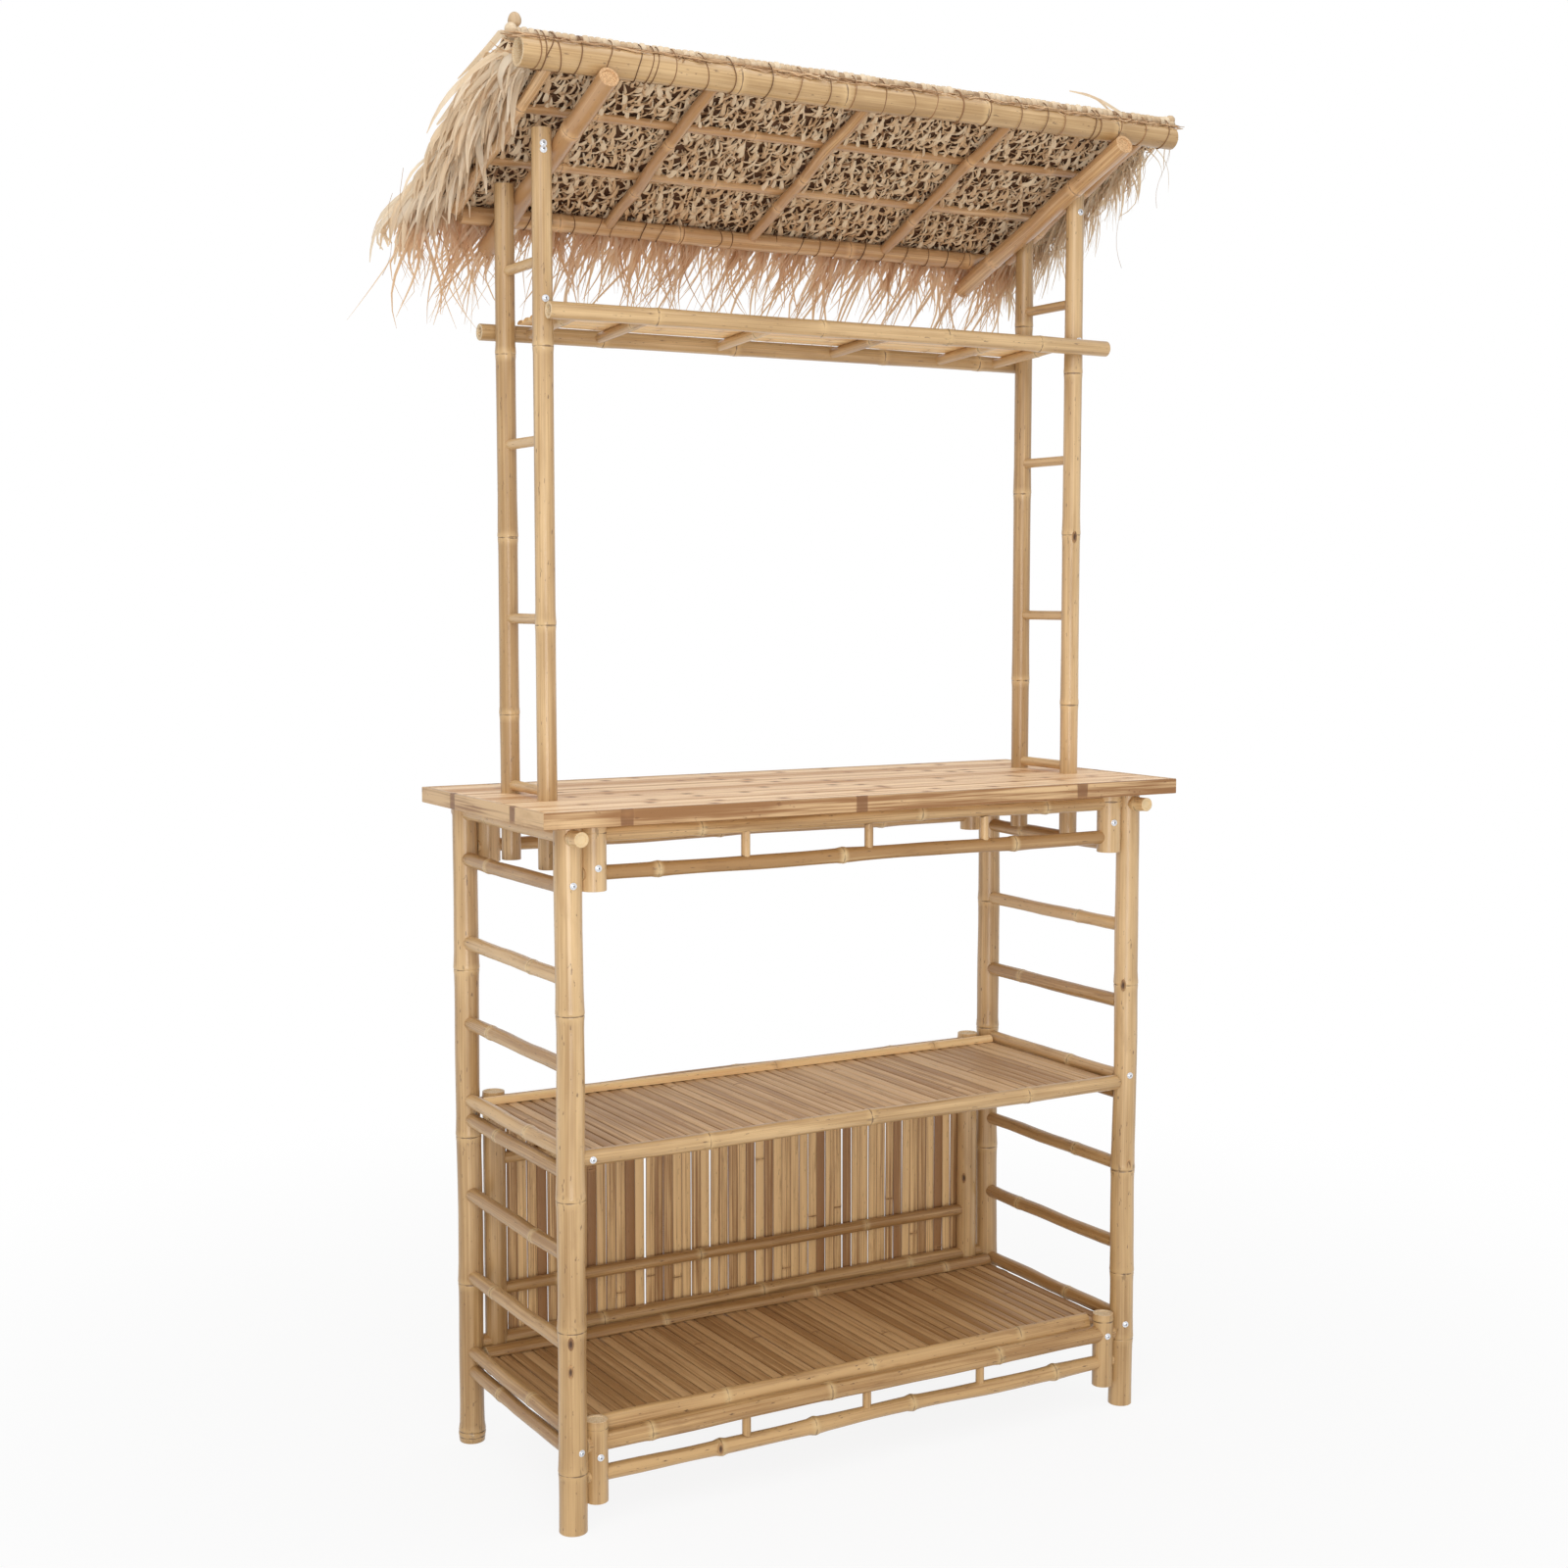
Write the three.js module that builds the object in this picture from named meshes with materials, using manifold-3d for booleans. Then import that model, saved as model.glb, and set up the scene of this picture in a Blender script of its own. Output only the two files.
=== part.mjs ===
// Garden bar hut of bamboo: a waist-high counter on four legs with two slatted shelves, four uprights
// that carry a narrow upper shelf, and a lean-to roof of poles with a thatched mat tied over it.
// Millimetres, +Z up, X along the counter, -Y towards the serving side.
import * as THREE from "three";
import { mergeVertices } from "three/addons/utils/BufferGeometryUtils.js";
import Module from "manifold-3d";

const wasm = await Module();
wasm.setup();

// Fits: the gap between pieces that touch, how deep a fixed piece is let into its carrier, and
// how far a cut runs past the faces that it opens.
const fitGap = 0.3;
const sinkDepth = 0.2;
const cutOverrun = 4;
const weldDistance = 0.001;

// Bamboo culms: the node rings, and the open ends that show the hollow of a pole.
const thickRingSwell = 1.2;
const thinRingSwell = 0.7;
const ringHalfLength = 5;
const boreShare = 0.62;
const boreDepth = 28;
const thickSides = 12;
const thinSides = 8;
const spindleSides = 6;

// Legs and the rungs between the legs of a side. Rung shares are of the height from the middle shelf
// to the counter, and of the height between the shelves.
const legSpacing = 1000;
const legDepth = 390;
const legRadius = 20;
const rungRadius = 11;
const upperRungShares = [0.813, 0.533, 0.262];
const lowerRungShares = [0.63, 0.302];
const bearerDrop = 16;
const bearerFrontReach = 48;
const bearerRearReach = 27;
const bearerRingShares = [1.36, 1.74];

// Counter top.
const counterHeight = 1050;
const counterThickness = 24;
const counterFrontOverhang = 51;
const counterRearOverhang = 30;
const counterSideOverhang = 58;
const counterStrips = 8;
const counterLathThickness = 8;
const counterGrooveWidth = 2.4;
const counterGrooveDepth = 1.6;
const counterHoleClearance = 1;

// Apron under the counter, the same at the front and the rear.
const apronPostRadius = 19;
const apronPostReach = 25;
const apronRailRadius = 10.5;
const apronUpperDrop = 15;
const apronLowerDrop = 70;
const spindleRadius = 6.5;
const spindleSpacing = 214;
const postRingDrop = 10;

// Foot rails at the front of the bottom shelf.
const footPostRise = 12;
const footPostReach = 40;
const footPostRadius = 17;
const footShelfRailDrop = 22.5;
const footShelfRailRadius = 13;
const footLowerRailDrop = 70;
const footLowerRailRadius = 10;

// Shelves between the legs.
const midShelfHeight = 555;
const bottomShelfHeight = 148;
const midFrontRailRadius = 12;
const midFrontRailDrop = 8;
const slatCount = 50;
const slatThickness = 6.5;
const slatGrooveWidth = 2;
const slatGrooveDepth = 2.2;
const slatEndClearance = 1.5;
const slatRearReach = 18;
const battenWidth = 24;
const battenThickness = 7.9;
const battenInset = 65;
const battenEndReach = 5;
const edgeLathWidth = 20;
const edgeLathThickness = 7;
const edgeLathMitre = 14;
const edgeLathInset = 1;

// Panel behind the lower half. Its thin rails' shares are of the height between the thick ones.
const panelPostRadius = 17.5;
const panelPostInset = 43;
const panelPostDrop = 38;
const panelPostRise = 8;
const panelRailRadius = 10.5;
const panelThinRailRadius = 9.6;
const panelTopRailDrop = 10;
const panelBottomRailRise = 10;
const panelThinRailShares = [0.762, 0.212];
const panelSlatCount = 51;
const panelSlatThickness = 5;
const panelSlatReach = 6;
const panelSlatLap = 8.5;
const panelGrooveWidth = 1.6;
const panelGrooveDepth = 3.4;

// Uprights and the upper shelf that they carry. The shares of heights are of the height from the
// counter to the ridge.
const uprightRadius = 14.5;
const uprightDepth = 138;
const uprightFootDrop = 78;
const uprightRungRadius = 7.5;
const uprightRungRise = 12;
const uprightRungShares = [0.256, 0.507, 0.755];
const shelfPoleRadius = 12.5;
const shelfHeightShare = 0.683;
const shelfFall = 13;
const shelfFrontLeftOverhang = 4;
const shelfFrontRightOverhang = 46;
const shelfRearLeftOverhang = 31;
const shelfRearRightOverhang = 16;
const shelfFrontRingShares = [2.5, 3.6, 4.4];
const shelfRearRingShares = [2.4, 3.3, 4.6];
const shelfRungRadius = 7.75;
const shelfRungShares = [-0.9, -0.66, -0.22, 0.22, 0.66, 0.9];
const shelfLathCount = 6;
const shelfLathWidth = 20;
const shelfLathThickness = 6;
const shelfLathCrown = 3;
const shelfLathEndGap = 4;
const shelfLathMargin = 16;

// Roof frame, in a group whose Y runs down the slope and whose Z stands off it.
const roofPitch = THREE.MathUtils.degToRad(22);
const ridgeReach = 131;
const ridgeRise = 1026;
const roofRun = 410;
const topPoleRadius = 21;
const topPoleOverhang = 120.6;
const lowerPoleRadius = 14;
const lowerPoleLeftOverhang = 55.6;
const lowerPoleRightOverhang = 25.6;
const lowerPoleNibRun = 34;
const mainRafterRadius = 15;
const mainRafterTopReach = 20;
const mainRafterLowReach = 48;
const thinRafterRadius = 8.5;
const thinRafterPitchShare = 0.453;
const thinRafterShares = [-2, -1, 0, 1, 2];
const looseRafterShare = 0.97;
const purlinWidth = 14;
const purlinThickness = 10;
const purlinEndInset = 41;
const purlinShares = [0.355, 0.687];

// Thatch: the mat, the roll tied along its ridge, and the fringes of hanging leaf.
const matOverhang = 10;
const matThickness = 17;
const matDroopRun = 5;
const matDroopRadius = 25;
const matDroopAngle = THREE.MathUtils.degToRad(35);
const matDroopSteps = 3;
const rollRadius = 7;
const rollSides = 8;
const knobRadius = 10;
const knobLength = 13;
const ridgeTieWidth = 9;
const sliceThickness = 8;
const sliceEndInset = 5;
const rearLeafCount = 176;
const gableLeafCount = 62;
const leafWidth = 8;
const leafThickness = 2.2;
const leafSink = 2;
const leafRowOffset = 4.2;
const rearLeafLength = 132;
const rearLeafLengthWave = 17;
const rearLeafBendShare = 0.4;
const rearLeafFirstBend = THREE.MathUtils.degToRad(14);
const rearLeafSecondBend = THREE.MathUtils.degToRad(28);
const gableLeafLength = 104;
const gableLeafLengthWave = 22;
const gableLeafDroop = THREE.MathUtils.degToRad(24);
const gableLeafRowDroop = THREE.MathUtils.degToRad(10);
const leafSway = 9;
const leafRowJitter = 0.9;
const leafSwayWaves = 7;
const leafLengthWaves = 23;
const leafJitterTurn = 2.4;
const gableStartShare = 0.06;

// Lashings: one cord wound along each roof pole.
const topCordRadius = 1.5;
const topCordSides = 4;
const topPoleSteps = 6;
const topRollSteps = 3;
const lowerCordRadius = 1.3;
const lowerCordSides = 4;
const lowerPoleSteps = 10;
const lowerAdvanceSteps = 4;
const loopsPerBay = 4;
const topLoops = 18;
const lowerLoops = 14;

// Places that several sub-assemblies share.
const legX = legSpacing / 2;
const legY = legDepth / 2;
const counterUnderside = counterHeight - counterThickness;
const legTop = counterUnderside - fitGap;
const postX = legX - legRadius - fitGap - apronPostRadius;
const footPostX = legX - legRadius - fitGap - footPostRadius;
const uprightX = legX - rungRadius - fitGap - uprightRadius;
const uprightY = uprightDepth / 2;
const shelfPoleY = uprightY + uprightRadius + fitGap + shelfPoleRadius;
const mainRafterX = uprightX - uprightRadius - fitGap - mainRafterRadius;
const rungHeights = [
  ...upperRungShares.map((share) => THREE.MathUtils.lerp(midShelfHeight, counterUnderside, share)),
  ...lowerRungShares.map((share) => THREE.MathUtils.lerp(bottomShelfHeight, midShelfHeight, share)),
];
const supportDrop = 2 * rungRadius + battenThickness + 2 * fitGap;
const footShelfRailHeight = bottomShelfHeight - footShelfRailDrop;
const footLowerRailHeight = bottomShelfHeight - footLowerRailDrop;
const roofTopY = -uprightY - ridgeReach;
const roofTopZ = counterHeight + ridgeRise;
const topPoleHalf = mainRafterX + topPoleOverhang;
const matHalf = topPoleHalf + matOverhang;
const thinRafterPitch = thinRafterPitchShare * topPoleHalf;
const lowerPoleLeftReach = mainRafterX + lowerPoleLeftOverhang;
const lowerPoleRightReach = mainRafterX + lowerPoleRightOverhang;
const loopPitch = thinRafterPitch / loopsPerBay;

const leftRight = [["left", -1], ["right", 1]];
const xAxis = new THREE.Vector3(1, 0, 0);
const yAxis = new THREE.Vector3(0, 1, 0);
const zAxis = new THREE.Vector3(0, 0, 1);
const noTurn = new THREE.Matrix4();

const finishes = {
  culm: { color: 0xd8b883, roughness: 0.42, metalness: 0 },
  rung: { color: 0xcfa974, roughness: 0.46, metalness: 0 },
  counter: { color: 0xd9ab67, roughness: 0.38, metalness: 0 },
  slat: { color: 0xb99a6d, roughness: 0.55, metalness: 0 },
  panel: { color: 0xa98258, roughness: 0.6, metalness: 0 },
  lath: { color: 0xdcb377, roughness: 0.5, metalness: 0 },
  thatch: { color: 0xcdb07c, roughness: 0.85, metalness: 0 },
  leaf: { color: 0xb98f6c, roughness: 0.85, metalness: 0 },
  cord: { color: 0x3d2818, roughness: 0.8, metalness: 0 },
};

// Solids.

// A closed geometry as a solid that can be cut and joined.
function toSolid(geometry) {
  const bare = new THREE.BufferGeometry();
  bare.setAttribute("position", geometry.getAttribute("position"));
  bare.setIndex(geometry.getIndex());
  const welded = mergeVertices(bare, weldDistance);
  const mesh = new wasm.Mesh({
    numProp: 3,
    vertProperties: welded.getAttribute("position").array,
    triVerts: new Uint32Array(welded.getIndex().array),
  });
  return new wasm.Manifold(mesh);
}

// A solid as a geometry with faceted normals.
function toGeometry(solid) {
  const mesh = solid.getMesh();
  const geometry = new THREE.BufferGeometry();
  geometry.setAttribute("position", new THREE.BufferAttribute(mesh.vertProperties, mesh.numProp));
  geometry.setIndex(new THREE.BufferAttribute(mesh.triVerts, 1));
  return geometry;
}

function fuse(solids) {
  return solids.reduce((whole, solid) => whole.add(solid));
}

function cut(solid, tools) {
  return tools.reduce((rest, tool) => rest.subtract(tool), solid);
}

function boxSolid(low, high) {
  const size = high.clone().sub(low);
  const middle = low.clone().add(high).multiplyScalar(1 / 2);
  const geometry = new THREE.BoxGeometry(size.x, size.y, size.z);
  return toSolid(geometry.translate(middle.x, middle.y, middle.z));
}

// An outline of [x, y] points, pulled along +Z by depth and then placed.
function extrudedSolid(points, depth, place = noTurn) {
  const shape = new THREE.Shape(points.map(([x, y]) => new THREE.Vector2(x, y)));
  const geometry = new THREE.ExtrudeGeometry(shape, { depth, bevelEnabled: false });
  return toSolid(geometry.applyMatrix4(place));
}

// A row of strips edge to edge: a rectangle whose far side has a V-groove at each seam.
function stripOutline(start, end, near, far, count, grooveWidth, grooveDepth) {
  const inward = Math.sign(near - far);
  const outline = [[start, far], [start, near], [end, near], [end, far]];
  for (let seam = count - 1; seam > 0; seam -= 1) {
    const at = THREE.MathUtils.lerp(start, end, seam / count);
    outline.push([at + grooveWidth / 2, far]);
    outline.push([at, far + inward * grooveDepth]);
    outline.push([at - grooveWidth / 2, far]);
  }
  return outline;
}

// Turns an outline's X and Y into Y and Z, and its depth into +X.
function alongX(x, y = 0, z = 0) {
  return new THREE.Matrix4().makeBasis(yAxis, zAxis, xAxis).setPosition(x, y, z);
}

// A straight pole from one point to another, with its node rings at distances along it.
function pole(from, to, radius, sides, swell, rings = []) {
  return { from, to, radius, sides, swell, rings };
}

function polePlace({ from, to }) {
  const direction = to.clone().sub(from).normalize();
  const turn = new THREE.Quaternion().setFromUnitVectors(zAxis, direction);
  return new THREE.Matrix4().compose(from, turn, new THREE.Vector3(1, 1, 1));
}

// The pole's solid: straight between its nodes, each node a low raised ring. A grown pole is the
// cutter for whatever fits round it.
function culm(spec, grow = 0) {
  const length = spec.from.distanceTo(spec.to);
  const radius = spec.radius + grow;
  const profile = [new THREE.Vector2(0, 0), new THREE.Vector2(radius, 0)];
  for (const at of [...spec.rings].sort((a, b) => a - b)) {
    profile.push(new THREE.Vector2(radius, at - ringHalfLength));
    profile.push(new THREE.Vector2(radius + spec.swell, at));
    profile.push(new THREE.Vector2(radius, at + ringHalfLength));
  }
  profile.push(new THREE.Vector2(radius, length), new THREE.Vector2(0, length));
  const geometry = new THREE.LatheGeometry(profile, spec.sides);
  geometry.rotateX(Math.PI / 2);
  return toSolid(geometry.applyMatrix4(polePlace(spec)));
}

// The open ends of a hollow pole: a bore into each end.
function endBores(spec) {
  const direction = spec.to.clone().sub(spec.from).normalize();
  const bore = (end, inward) => {
    const outer = end.clone().addScaledVector(inward, -cutOverrun);
    const inner = end.clone().addScaledVector(inward, boreDepth);
    return culm(pole(outer, inner, spec.radius * boreShare, thinSides, 0));
  };
  return [bore(spec.from, direction), bore(spec.to, direction.clone().negate())];
}

// Distances from the first of a row of joints, each given as a bay's number plus a share of it, so
// that node rings stay between the joints.
function ringsBetween(joints, bayShares) {
  return bayShares.map((place) => {
    const bay = Math.floor(place);
    return THREE.MathUtils.lerp(joints[bay], joints[bay + 1], place - bay) - joints[0];
  });
}

function ringsAlong(span, shares) {
  return shares.map((share) => share * span);
}

const root = new THREE.Group();

// Adds a solid, given in its group's frame, as a mesh with its own place and material.
function addPiece(group, name, solid, finish, place = noTurn) {
  const geometry = toGeometry(solid).applyMatrix4(place.clone().invert()).toNonIndexed();
  geometry.computeVertexNormals();
  const mesh = new THREE.Mesh(geometry, new THREE.MeshStandardMaterial(finish));
  mesh.name = name;
  mesh.applyMatrix4(place);
  group.add(mesh);
}

// Legs, with the hole near the top of each that the bearer passes through.

const bearerHeight = counterUnderside - bearerDrop;
const legJoints = [
  0,
  footLowerRailHeight,
  bottomShelfHeight,
  rungHeights[4],
  rungHeights[3],
  midShelfHeight - supportDrop,
  midShelfHeight,
  rungHeights[2],
  rungHeights[1],
  rungHeights[0],
  bearerHeight,
];
const legRingShares = {
  front_left: [0.5, 2.6, 4.45, 7.5],
  front_right: [2.6, 4.5, 6.5, 8.6],
  rear_left: [0.6, 3.5, 6.5, 8.4],
  rear_right: [2.4, 4.4, 6.6, 8.5],
};

function legSpec(end, side) {
  const x = side === "left" ? -legX : legX;
  const y = end === "front" ? -legY : legY;
  const rings = ringsBetween(legJoints, legRingShares[`${end}_${side}`]);
  const foot = new THREE.Vector3(x, y, 0);
  return pole(foot, new THREE.Vector3(x, y, legTop), legRadius, thickSides, thickRingSwell, rings);
}

function bearerSpec(x) {
  const from = new THREE.Vector3(x, -legY - bearerFrontReach, bearerHeight);
  const to = new THREE.Vector3(x, legY + bearerRearReach, bearerHeight);
  const joints = [from.y, -legY, legY];
  const rings = ringsBetween(joints, bearerRingShares);
  return pole(from, to, rungRadius, thinSides, thinRingSwell, rings);
}

function addLegs(group) {
  for (const [side, sign] of leftRight) {
    const bearer = bearerSpec(sign * legX);
    addPiece(group, `bearer_${side}`, culm(bearer), finishes.rung, polePlace(bearer));
    for (const end of ["front", "rear"]) {
      const leg = legSpec(end, side);
      const solid = cut(culm(leg), [culm(bearer, fitGap)]);
      addPiece(group, `leg_${end}_${side}`, solid, finishes.culm, polePlace(leg));
    }
  }
}

// Rungs between the front and rear leg of a side, hollowed at both ends to fit round the legs.

const rungRingShares = [0.34, 0.68];

function addSideRung(group, name, side, height, ringShare) {
  const x = side === "left" ? -legX : legX;
  const from = new THREE.Vector3(x, -legY, height);
  const to = new THREE.Vector3(x, legY, height);
  const rings = ringsAlong(legDepth, [ringShare]);
  const rung = pole(from, to, rungRadius, thinSides, thinRingSwell, rings);
  const legs = [culm(legSpec("front", side), fitGap), culm(legSpec("rear", side), fitGap)];
  addPiece(group, name, cut(culm(rung), legs), finishes.rung, polePlace(rung));
}

function addSideRungs(group) {
  for (const [side] of leftRight) {
    rungHeights.forEach((height, i) => {
      const ringShare = rungRingShares[i % rungRingShares.length];
      addSideRung(group, `rung_${side}_${i + 1}`, side, height, ringShare);
    });
    for (const [shelf, height] of [["mid", midShelfHeight], ["bottom", bottomShelfHeight]]) {
      addSideRung(group, `shelf_${shelf}_end_pole_${side}`, side, height, rungRingShares[0]);
      addSideRung(group, `shelf_${shelf}_support_${side}`, side, height - supportDrop, rungRingShares[1]);
    }
  }
}

// Counter: strips side by side between two edge laths, with a hole for each upright.

const counterFront = -legY - counterFrontOverhang;
const counterRear = legY + counterRearOverhang;
const counterHalf = legX + counterSideOverhang;

// An edge lath, seen from above, whose ends are mitred. Its long side is the outer one.
function mitredLath(length, thickness, outerEdge) {
  const half = length / 2;
  const inner = half - thickness;
  const outline = [[-half, 0], [half, 0], [inner, thickness], [-inner, thickness]];
  const turn = new THREE.Matrix4().makeRotationZ(outerEdge.angle);
  turn.setPosition(outerEdge.x, outerEdge.y, counterUnderside);
  return extrudedSolid(outline, counterThickness, turn);
}

function addCounter(group) {
  const front = counterFront + counterLathThickness + fitGap;
  const rear = counterRear - counterLathThickness - fitGap;
  const inner = counterHalf - counterLathThickness + sinkDepth;
  const strips = extrudedSolid(
    stripOutline(
      front, rear, counterUnderside, counterHeight, counterStrips, counterGrooveWidth, counterGrooveDepth,
    ),
    2 * inner,
    alongX(-inner),
  );
  const middle = (counterFront + counterRear) / 2;
  const depth = counterRear - counterFront - 2 * fitGap;
  const sideLaths = leftRight.map(([, sign]) =>
    mitredLath(depth, counterLathThickness, { x: sign * counterHalf, y: middle, angle: (sign * Math.PI) / 2 }),
  );
  const holes = uprightSpecs().map((spec) => culm(spec, counterHoleClearance));
  addPiece(group, "counter_deck", cut(fuse([strips, ...sideLaths]), holes), finishes.counter);
  const width = 2 * counterHalf - 2 * fitGap;
  const frontLath = mitredLath(width, counterLathThickness, { x: 0, y: counterFront, angle: 0 });
  const rearLath = mitredLath(width, counterLathThickness, { x: 0, y: counterRear, angle: Math.PI });
  addPiece(group, "counter_front_lath", frontLath, finishes.lath);
  addPiece(group, "counter_rear_lath", rearLath, finishes.lath);
}

// A rail from leg to leg or from post to post along X, before its ends are hollowed.
function railSpec(y, z, half, radius, swell, ringShares) {
  const from = new THREE.Vector3(-half, y, z);
  const to = new THREE.Vector3(half, y, z);
  return pole(from, to, radius, thinSides, swell, ringsAlong(2 * half, ringShares));
}

function postSpec(x, y, low, high, radius) {
  const from = new THREE.Vector3(x, y, low);
  const rings = [high - low - postRingDrop];
  return pole(from, new THREE.Vector3(x, y, high), radius, thickSides, thickRingSwell, rings);
}

function spindles(y, low, high) {
  return [-spindleSpacing, 0, spindleSpacing].map((x) => {
    const from = new THREE.Vector3(x, y, low);
    return culm(pole(from, new THREE.Vector3(x, y, high), spindleRadius, spindleSides, 0));
  });
}

// Apron: a short post beside each leg, an upper rail between the posts, a lower rail that runs
// through them to the legs, and three spindles between the rails.

const apronRailRingShares = [0.18, 0.385, 0.63];

function apronPosts(y) {
  const low = counterUnderside - apronLowerDrop - apronPostReach;
  return leftRight.map(([, sign]) => postSpec(sign * postX, y, low, legTop, apronPostRadius));
}

function addAprons(group) {
  const upperHeight = counterUnderside - apronUpperDrop;
  const lowerHeight = counterUnderside - apronLowerDrop;
  for (const end of ["front", "rear"]) {
    const y = end === "front" ? -legY : legY;
    const legs = leftRight.map(([side]) => culm(legSpec(end, side), fitGap));
    const posts = apronPosts(y);
    const upper = railSpec(y, upperHeight, postX, apronRailRadius, thinRingSwell, apronRailRingShares);
    const lower = railSpec(y, lowerHeight, legX, apronRailRadius, thinRingSwell, apronRailRingShares);
    const lowerRail = cut(culm(lower), legs);
    if (end === "rear") {
      const pieces = [culm(upper), lowerRail, ...posts.map((post) => culm(post))];
      const whole = fuse([...pieces, ...spindles(y, lowerHeight, upperHeight)]);
      addPiece(group, "rear_apron", cut(whole, legs), finishes.rung, polePlace(lower));
      continue;
    }
    const upperRail = cut(culm(upper), posts.map((post) => culm(post, fitGap)));
    const rails = fuse([upperRail, lowerRail, ...spindles(y, lowerHeight, upperHeight)]);
    addPiece(group, "apron_rails", rails, finishes.rung, polePlace(lower));
    posts.forEach((post, i) => {
      const solid = cut(culm(post), [culm(lower, fitGap), ...legs]);
      addPiece(group, `apron_post_${leftRight[i][0]}`, solid, finishes.culm, polePlace(post));
    });
  }
}

// Foot rails: like the apron, with the shelf's thick front rail as its upper rail.

const footRailRingShares = [0.16, 0.4, 0.65];

function footPosts() {
  const low = footLowerRailHeight - footPostReach;
  const high = bottomShelfHeight + footPostRise;
  return leftRight.map(([, sign]) => postSpec(sign * footPostX, -legY, low, high, footPostRadius));
}

function footShelfRail() {
  return railSpec(
    -legY, footShelfRailHeight, footPostX, footShelfRailRadius, thickRingSwell, footRailRingShares,
  );
}

function addFootRails(group) {
  const posts = footPosts();
  const legs = leftRight.map(([side]) => culm(legSpec("front", side), fitGap));
  const upper = footShelfRail();
  const lower = railSpec(
    -legY, footLowerRailHeight, legX, footLowerRailRadius, thinRingSwell, apronRailRingShares,
  );
  const upperRail = cut(culm(upper), posts.map((post) => culm(post, fitGap)));
  const bars = spindles(-legY, footLowerRailHeight, footShelfRailHeight);
  const rails = fuse([upperRail, cut(culm(lower), legs), ...bars]);
  addPiece(group, "foot_rails", rails, finishes.rung, polePlace(lower));
  posts.forEach((post, i) => {
    const solid = cut(culm(post), [culm(lower, fitGap), ...legs]);
    addPiece(group, `foot_post_${leftRight[i][0]}`, solid, finishes.culm, polePlace(post));
  });
}

// Shelves: split slats side by side across two battens that lie on the side supports, with laths over
// the slats' ends.

// A lath laid over the slats' ends, from its outer edge inwards, with its outer corners cut back.
function edgeLath(height, outerEdge, inward, half, mitre) {
  const slatTop = height - rungRadius - fitGap - sinkDepth + slatThickness;
  const seat = slatGrooveDepth + edgeLathInset;
  const innerEdge = outerEdge + inward * edgeLathWidth;
  const outline = [
    [-half, innerEdge],
    [half, innerEdge],
    [half - mitre, outerEdge],
    [-half + mitre, outerEdge],
  ];
  const place = new THREE.Matrix4().makeTranslation(0, 0, slatTop - seat);
  return extrudedSolid(outline, edgeLathThickness + seat, place);
}

function shelfDeck(height, frontEdge, obstacles, laths) {
  const battenTop = height - rungRadius - fitGap;
  const half = legX - rungRadius - slatEndClearance;
  const rearEdge = legY - slatRearReach;
  const outline = stripOutline(
    -half, half, 0, slatThickness, slatCount, slatGrooveWidth, slatGrooveDepth,
  );
  const place = new THREE.Matrix4().makeBasis(xAxis, zAxis, yAxis.clone().negate());
  place.setPosition(0, rearEdge, battenTop - sinkDepth);
  const solids = [extrudedSolid(outline, rearEdge - frontEdge, place), ...laths];
  const reach = legX + battenEndReach;
  for (const sign of [-1, 1]) {
    const y = sign * (legY - battenInset);
    const low = new THREE.Vector3(-reach, y - battenWidth / 2, battenTop - battenThickness);
    solids.push(boxSolid(low, new THREE.Vector3(reach, y + battenWidth / 2, battenTop)));
  }
  const legs = ["front", "rear"].flatMap((end) => leftRight.map(([side]) => legSpec(end, side)));
  return cut(fuse(solids), [...legs, ...obstacles].map((spec) => culm(spec, fitGap)));
}

function addShelves(group) {
  const railHeight = midShelfHeight - midFrontRailDrop;
  const rail = railSpec(-legY, railHeight, legX, midFrontRailRadius, thickRingSwell, footRailRingShares);
  const legs = leftRight.map(([side]) => culm(legSpec("front", side), fitGap));
  addPiece(group, "shelf_mid_front_rail", cut(culm(rail), legs), finishes.culm, polePlace(rail));

  const half = legX - rungRadius - slatEndClearance - edgeLathInset;
  const rearEdge = legY - slatRearReach - edgeLathInset;
  const posts = panelPosts();
  const midFront = -legY + midFrontRailRadius + thickRingSwell + fitGap;
  const mid = shelfDeck(midShelfHeight, midFront, posts, [
    edgeLath(midShelfHeight, rearEdge, -1, half, edgeLathMitre),
  ]);
  addPiece(group, "shelf_mid_slats", mid, finishes.slat);

  const bottomFront = -legY + footShelfRailRadius + thickRingSwell + fitGap;
  const betweenPosts = footPostX - footPostRadius - fitGap;
  const bottom = shelfDeck(bottomShelfHeight, bottomFront, [...footPosts(), ...posts], [
    edgeLath(bottomShelfHeight, rearEdge, -1, half, edgeLathMitre),
    edgeLath(bottomShelfHeight, bottomFront + edgeLathInset, 1, betweenPosts, 0),
  ]);
  addPiece(group, "shelf_bottom_slats", bottom, finishes.slat);
}

// Back panel: two posts, four rails and a sheet of upright slats behind the rails.

const panelPostX = legX - panelPostInset;
const panelTopRailHeight = midShelfHeight - panelTopRailDrop;
const panelBottomRailHeight = bottomShelfHeight + panelBottomRailRise;

function panelPosts() {
  const low = bottomShelfHeight - panelPostDrop;
  const high = midShelfHeight + panelPostRise;
  return leftRight.map(([, sign]) => postSpec(sign * panelPostX, legY, low, high, panelPostRadius));
}

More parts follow.
